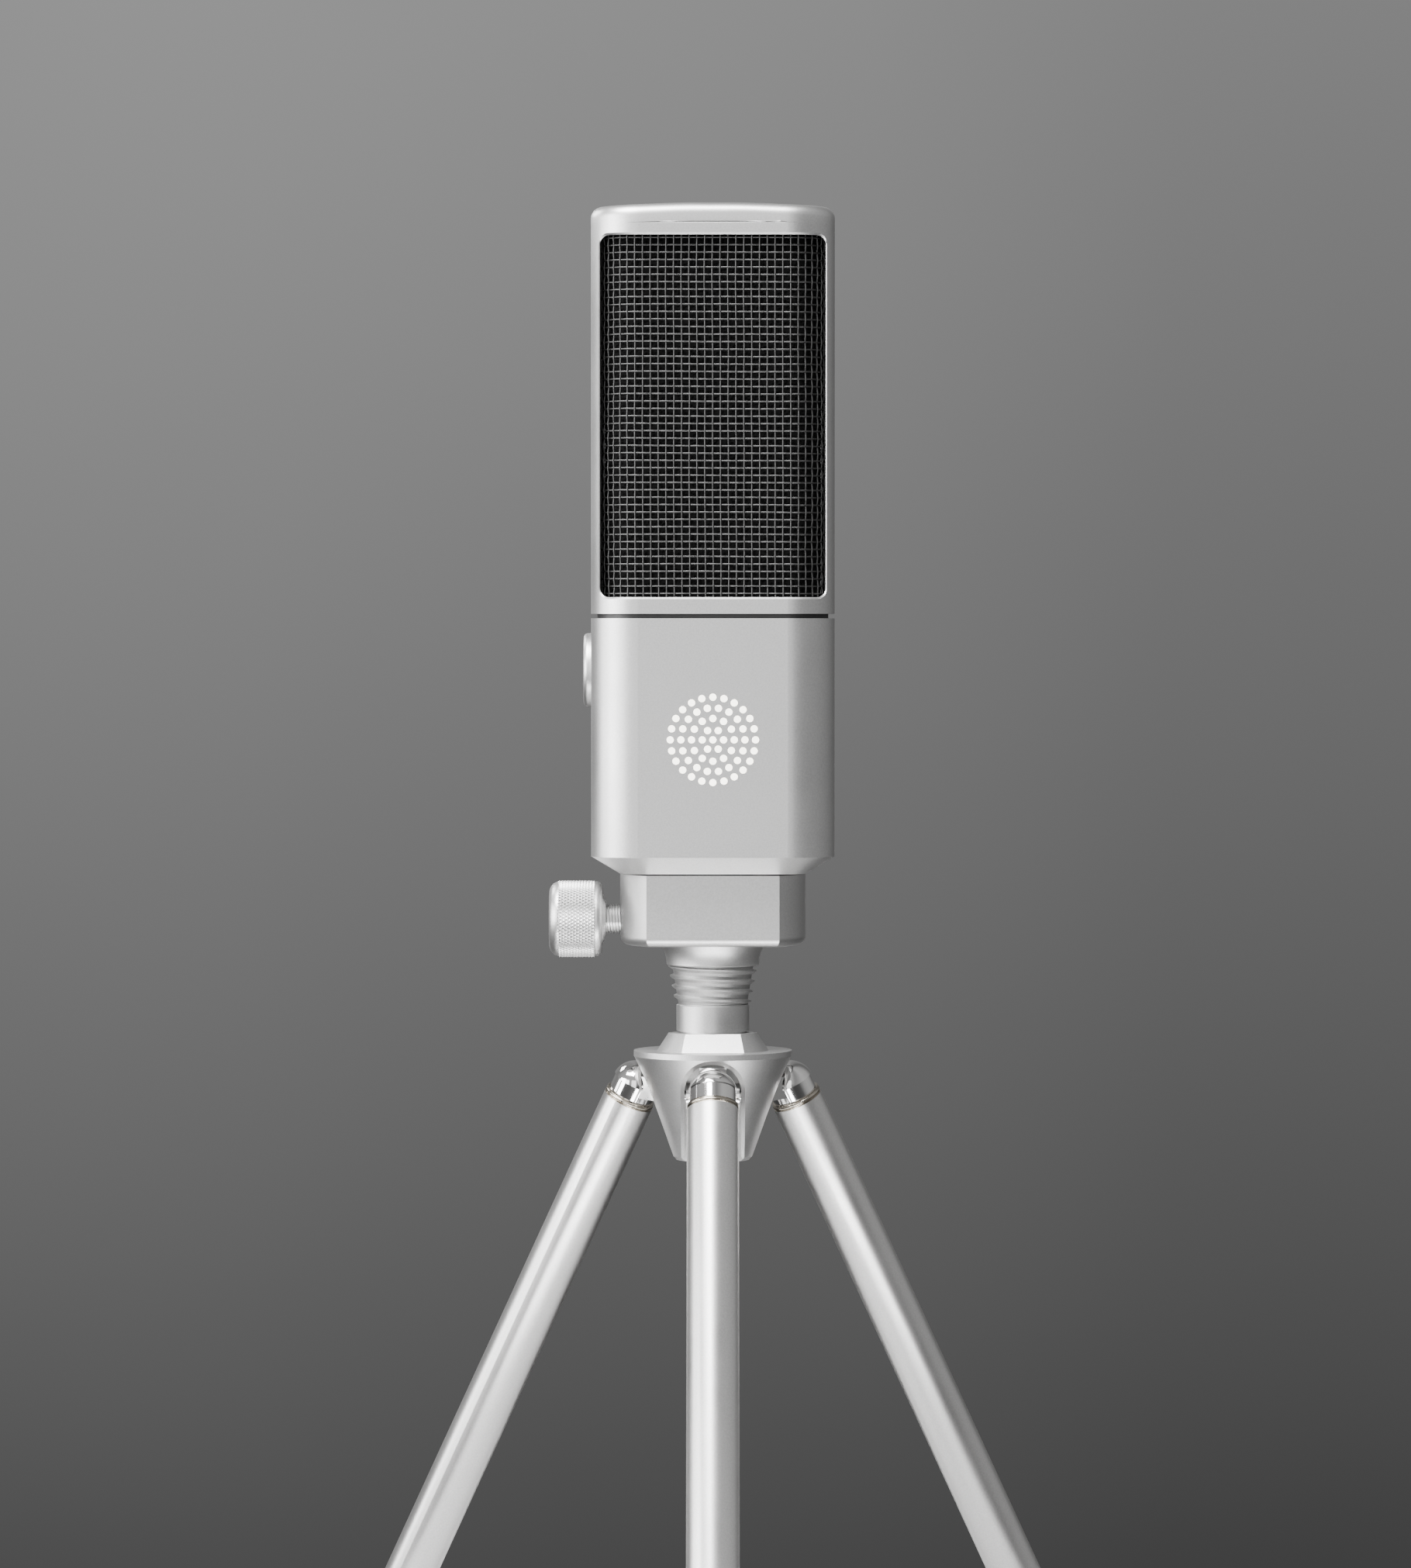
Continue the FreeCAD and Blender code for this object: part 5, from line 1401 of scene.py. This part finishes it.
@dataclass
class LegRing:
    """The slim dark ring between a knuckle and its tube.

    Its steps are millimetres: how far in from the skin, and how far up from the foot or down from the top.
    """

    splay: float = math.radians(27.7)
    reach: float = 20.2 * MM
    hinge: float = 137.5016 * MM
    drop: float = 2.5 * MM
    height: float = 1.4 * MM
    radius: float = 5.75 * MM
    wall: float = 1.2 * MM
    bulge_share: float = 0.31
    lower_steps: Outline = field(default_factory=lambda: [(0.1, 0.0), (0.0, 0.1), (0.0, 0.18), (0.22, 0.28)])
    upper_steps: Outline = field(default_factory=lambda: [(0.22, 0.25), (0.12, 0.12), (0.3, 0.0)])
    turn_steps: int = 72
    sharp_angle: float = 32.0

    def build(self) -> None:
        """Turn one ring and copy it to each leg."""
        top = -self.drop
        foot = top - self.height
        inside = self.radius - self.wall
        bulge = self.height * self.bulge_share
        profile = [
            (inside, foot),
            *((self.radius - inwards * MM, foot + rise * MM) for inwards, rise in self.lower_steps),
            *arc(self.radius - bulge, (top + foot) / 2, bulge, -60, 60, 8),
            *((self.radius - inwards * MM, top - drop * MM) for inwards, drop in self.upper_steps),
            (inside, top), (inside, foot),
        ]
        ring = Bench.turn(profile, self.turn_steps)
        Bench.smooth(ring, self.sharp_angle)
        ring.rotation_euler = (-self.splay, 0, 0)
        ring.location = (0, -self.reach, self.hinge)
        Bench.settle(ring, "ring_pattern")
        for leg in Leg:
            twin = Bench.copy(ring, turn=leg.value * FULL_TURN / len(Leg))
            Bench.settle(twin, leg.body + "_bead")
            mount(twin, leg.body, BRONZE, leg.body + "_ring")
        bpy.data.objects.remove(ring)


# ---------------------------------------------------------------- studio
@dataclass
class SoftBox:
    """One soft studio light, hung by its bearing from the column and turned to face it."""

    name: str
    bearing: float
    rise: float
    distance: float
    size: tuple[float, float]
    radiance: float
    aim: Point = (0.0, 0.0, 0.22)

    def build(self) -> None:
        """Hang the light."""
        data = bpy.data.lights.new(self.name, "AREA")
        data.shape = "RECTANGLE"
        data.size, data.size_y = self.size
        data.energy = self.radiance * math.pi * self.size[0] * self.size[1]
        lamp = bpy.data.objects.new(self.name, data)
        bpy.context.scene.collection.objects.link(lamp)
        around, up = math.radians(self.bearing), math.radians(self.rise)
        way = Vector((math.sin(around) * math.cos(up), -math.cos(around) * math.cos(up), math.sin(up)))
        lamp.location = Vector(self.aim) + way * self.distance
        lamp.rotation_euler = (-way).to_track_quat("-Z", "Y").to_euler()
        lamp.visible_camera = False


LIGHTS = (
    SoftBox("overhead", -36.0, 60.0, 1.10, (0.75, 0.65), 29.0),
    SoftBox("left_key", -66.0, 8.0, 1.25, (0.60, 0.70), 13.0),
    SoftBox("left_side", -93.0, 4.0, 1.25, (0.32, 0.60), 8.0),
    SoftBox("left_wing", -41.0, 6.0, 1.45, (0.50, 0.70), 6.5),
    SoftBox("left_high", -128.0, 0.0, 0.36, (0.16, 0.16), 11.0, (0.0, 0.0, 0.47)),
    SoftBox("table_card", 0.0, -89.0, 0.178, (0.26, 0.07), 16.0, (0.0, -0.145, 0.19)),
    SoftBox("front_fill", -7.0, 2.0, 1.95, (0.75, 1.30), 1.9),
)


@dataclass
class Studio:
    """Camera, lights, floor and the grey of the room.

    The framing is laid out on a grid of small square cells, as large as cell says at the column.
    The room's greys run round the column from behind, by the left, the front and the right, to behind
    again. Each is a share of the way round and a brightness.
    """

    distance: float = 1.400
    eye_height: float = 0.2422
    cell: float = 0.1735 * MM
    frame_width: int = 1820
    frame_height: int = 2022
    horizon_row: float = 800.0
    axis_column: float = 919.5
    sensor: float = 36.0
    floor_radius: float = 0.125
    clip_start: float = 0.05
    floor_wall: float = 0.008
    floor_gap: float = 0.02 * MM
    floor_edge: float = 1.5 * MM
    floor_steps: int = 160
    greys: tuple[tuple[float, float], ...] = (
        (0.0, 0.42), (0.015, 0.475), (0.06, 0.40), (0.16, 0.34), (0.30, 0.65), (0.5, 0.78), (0.57, 0.40),
        (0.69, 0.72), (0.79, 0.60), (0.92, 0.20), (0.985, 0.335), (1.0, 0.42),
    )
    horizon: tuple[float, float] = (-0.156, 0.122)
    brightness: tuple[float, float] = (0.16, 0.72)
    unevenness: float = 0.03

    def camera(self) -> None:
        """Set the camera level with the housing, aimed so that the column stands where it should."""
        data = bpy.data.cameras.new("camera")
        data.lens = self.distance / (self.frame_height * self.cell) * self.sensor
        data.sensor_width = self.sensor
        data.clip_start = self.clip_start
        camera = bpy.data.objects.new("camera", data)
        bpy.context.scene.collection.objects.link(camera)
        drop = (self.frame_height / 2 - self.horizon_row) * self.cell
        aside = (self.frame_width / 2 - self.axis_column) * self.cell
        camera.location = (0.0, -self.distance, self.eye_height)
        target = Vector((aside, 0.0, self.eye_height - drop))
        camera.rotation_euler = (target - camera.location).to_track_quat("-Z", "Y").to_euler()
        bpy.context.scene.camera = camera

    def floor(self) -> None:
        """Lay the pale round floor."""
        Bench.clear()
        middle = -self.floor_wall / 2 - self.floor_gap
        bpy.ops.mesh.primitive_cylinder_add(
            vertices=self.floor_steps, radius=self.floor_radius, depth=self.floor_wall,
            location=(0, 0, middle),
        )
        piece = bpy.context.object
        Bench.apply(piece, "BEVEL", width=self.floor_edge, segments=4, limit_method="ANGLE")
        Bench.smooth(piece)
        Bench.settle(piece, "floor")
        dress(piece, PAPER)

    def room(self) -> None:
        """Paint the room's greys round the column, lighter above than below."""
        world = bpy.data.worlds.new("room")
        bpy.context.scene.world = world
        world.use_nodes = True
        tree = NodeTree(world.node_tree)
        way = tree.add("ShaderNodeTexCoord").outputs["Generated"]
        parts = tree.add("ShaderNodeSeparateXYZ", Vector=way)
        ahead = tree.math("MULTIPLY", parts.outputs["Y"], -1.0)
        around = tree.math("ARCTAN2", parts.outputs["X"], ahead)
        share = tree.span(around, -math.pi, math.pi)
        ramp = tree.add("ShaderNodeValToRGB", Fac=share)
        bar = ramp.color_ramp
        bar.interpolation = "EASE"
        while len(bar.elements) < len(self.greys):
            bar.elements.new(0.5)
        for element, (place, level) in zip(bar.elements, self.greys):
            element.position = place
            element.color = grey(level)
        rise = tree.span(parts.outputs["Z"], *self.horizon, *self.brightness)
        cloud = tree.add("ShaderNodeTexNoise", Vector=way, Scale=5.0, Detail=3.0, Roughness=0.5)
        uneven = tree.span(cloud.outputs["Fac"], 0.3, 0.7, 1 - self.unevenness, 1 + self.unevenness)
        strength = tree.math("MULTIPLY", rise, uneven)
        light = tree.add("ShaderNodeBackground", Color=ramp.outputs["Color"], Strength=strength)
        out = tree.add("ShaderNodeOutputWorld")
        tree.feed(out, "Surface", light.outputs["Background"])

    def build(self) -> None:
        """Set up the whole studio."""
        self.camera()
        self.floor()
        self.room()
        for box in LIGHTS:
            box.build()


def dress_frame() -> None:
    """Give every CAD node the finish of its slot."""
    slots = {part["node"]: part["material_slot"] for part in frame["record"]["subparts"]}
    for node, piece in frame["nodes"].items():
        dress(piece, FINISHES[slots[node]])
        LOG.info("%s is dressed in %s", node, slots[node])


def main() -> None:
    """Build everything in order."""
    logging.basicConfig(level=logging.INFO, format="%(name)s: %(message)s")
    Studio().build()
    dress_frame()
    for assembly in (Lid(), FoamLiner(), WovenBasket(), Thumbscrew(), NeckStem(), LegRing()):
        LOG.info("building: %s", type(assembly).__name__)
        assembly.build()


if __name__ == "__main__":
    main()
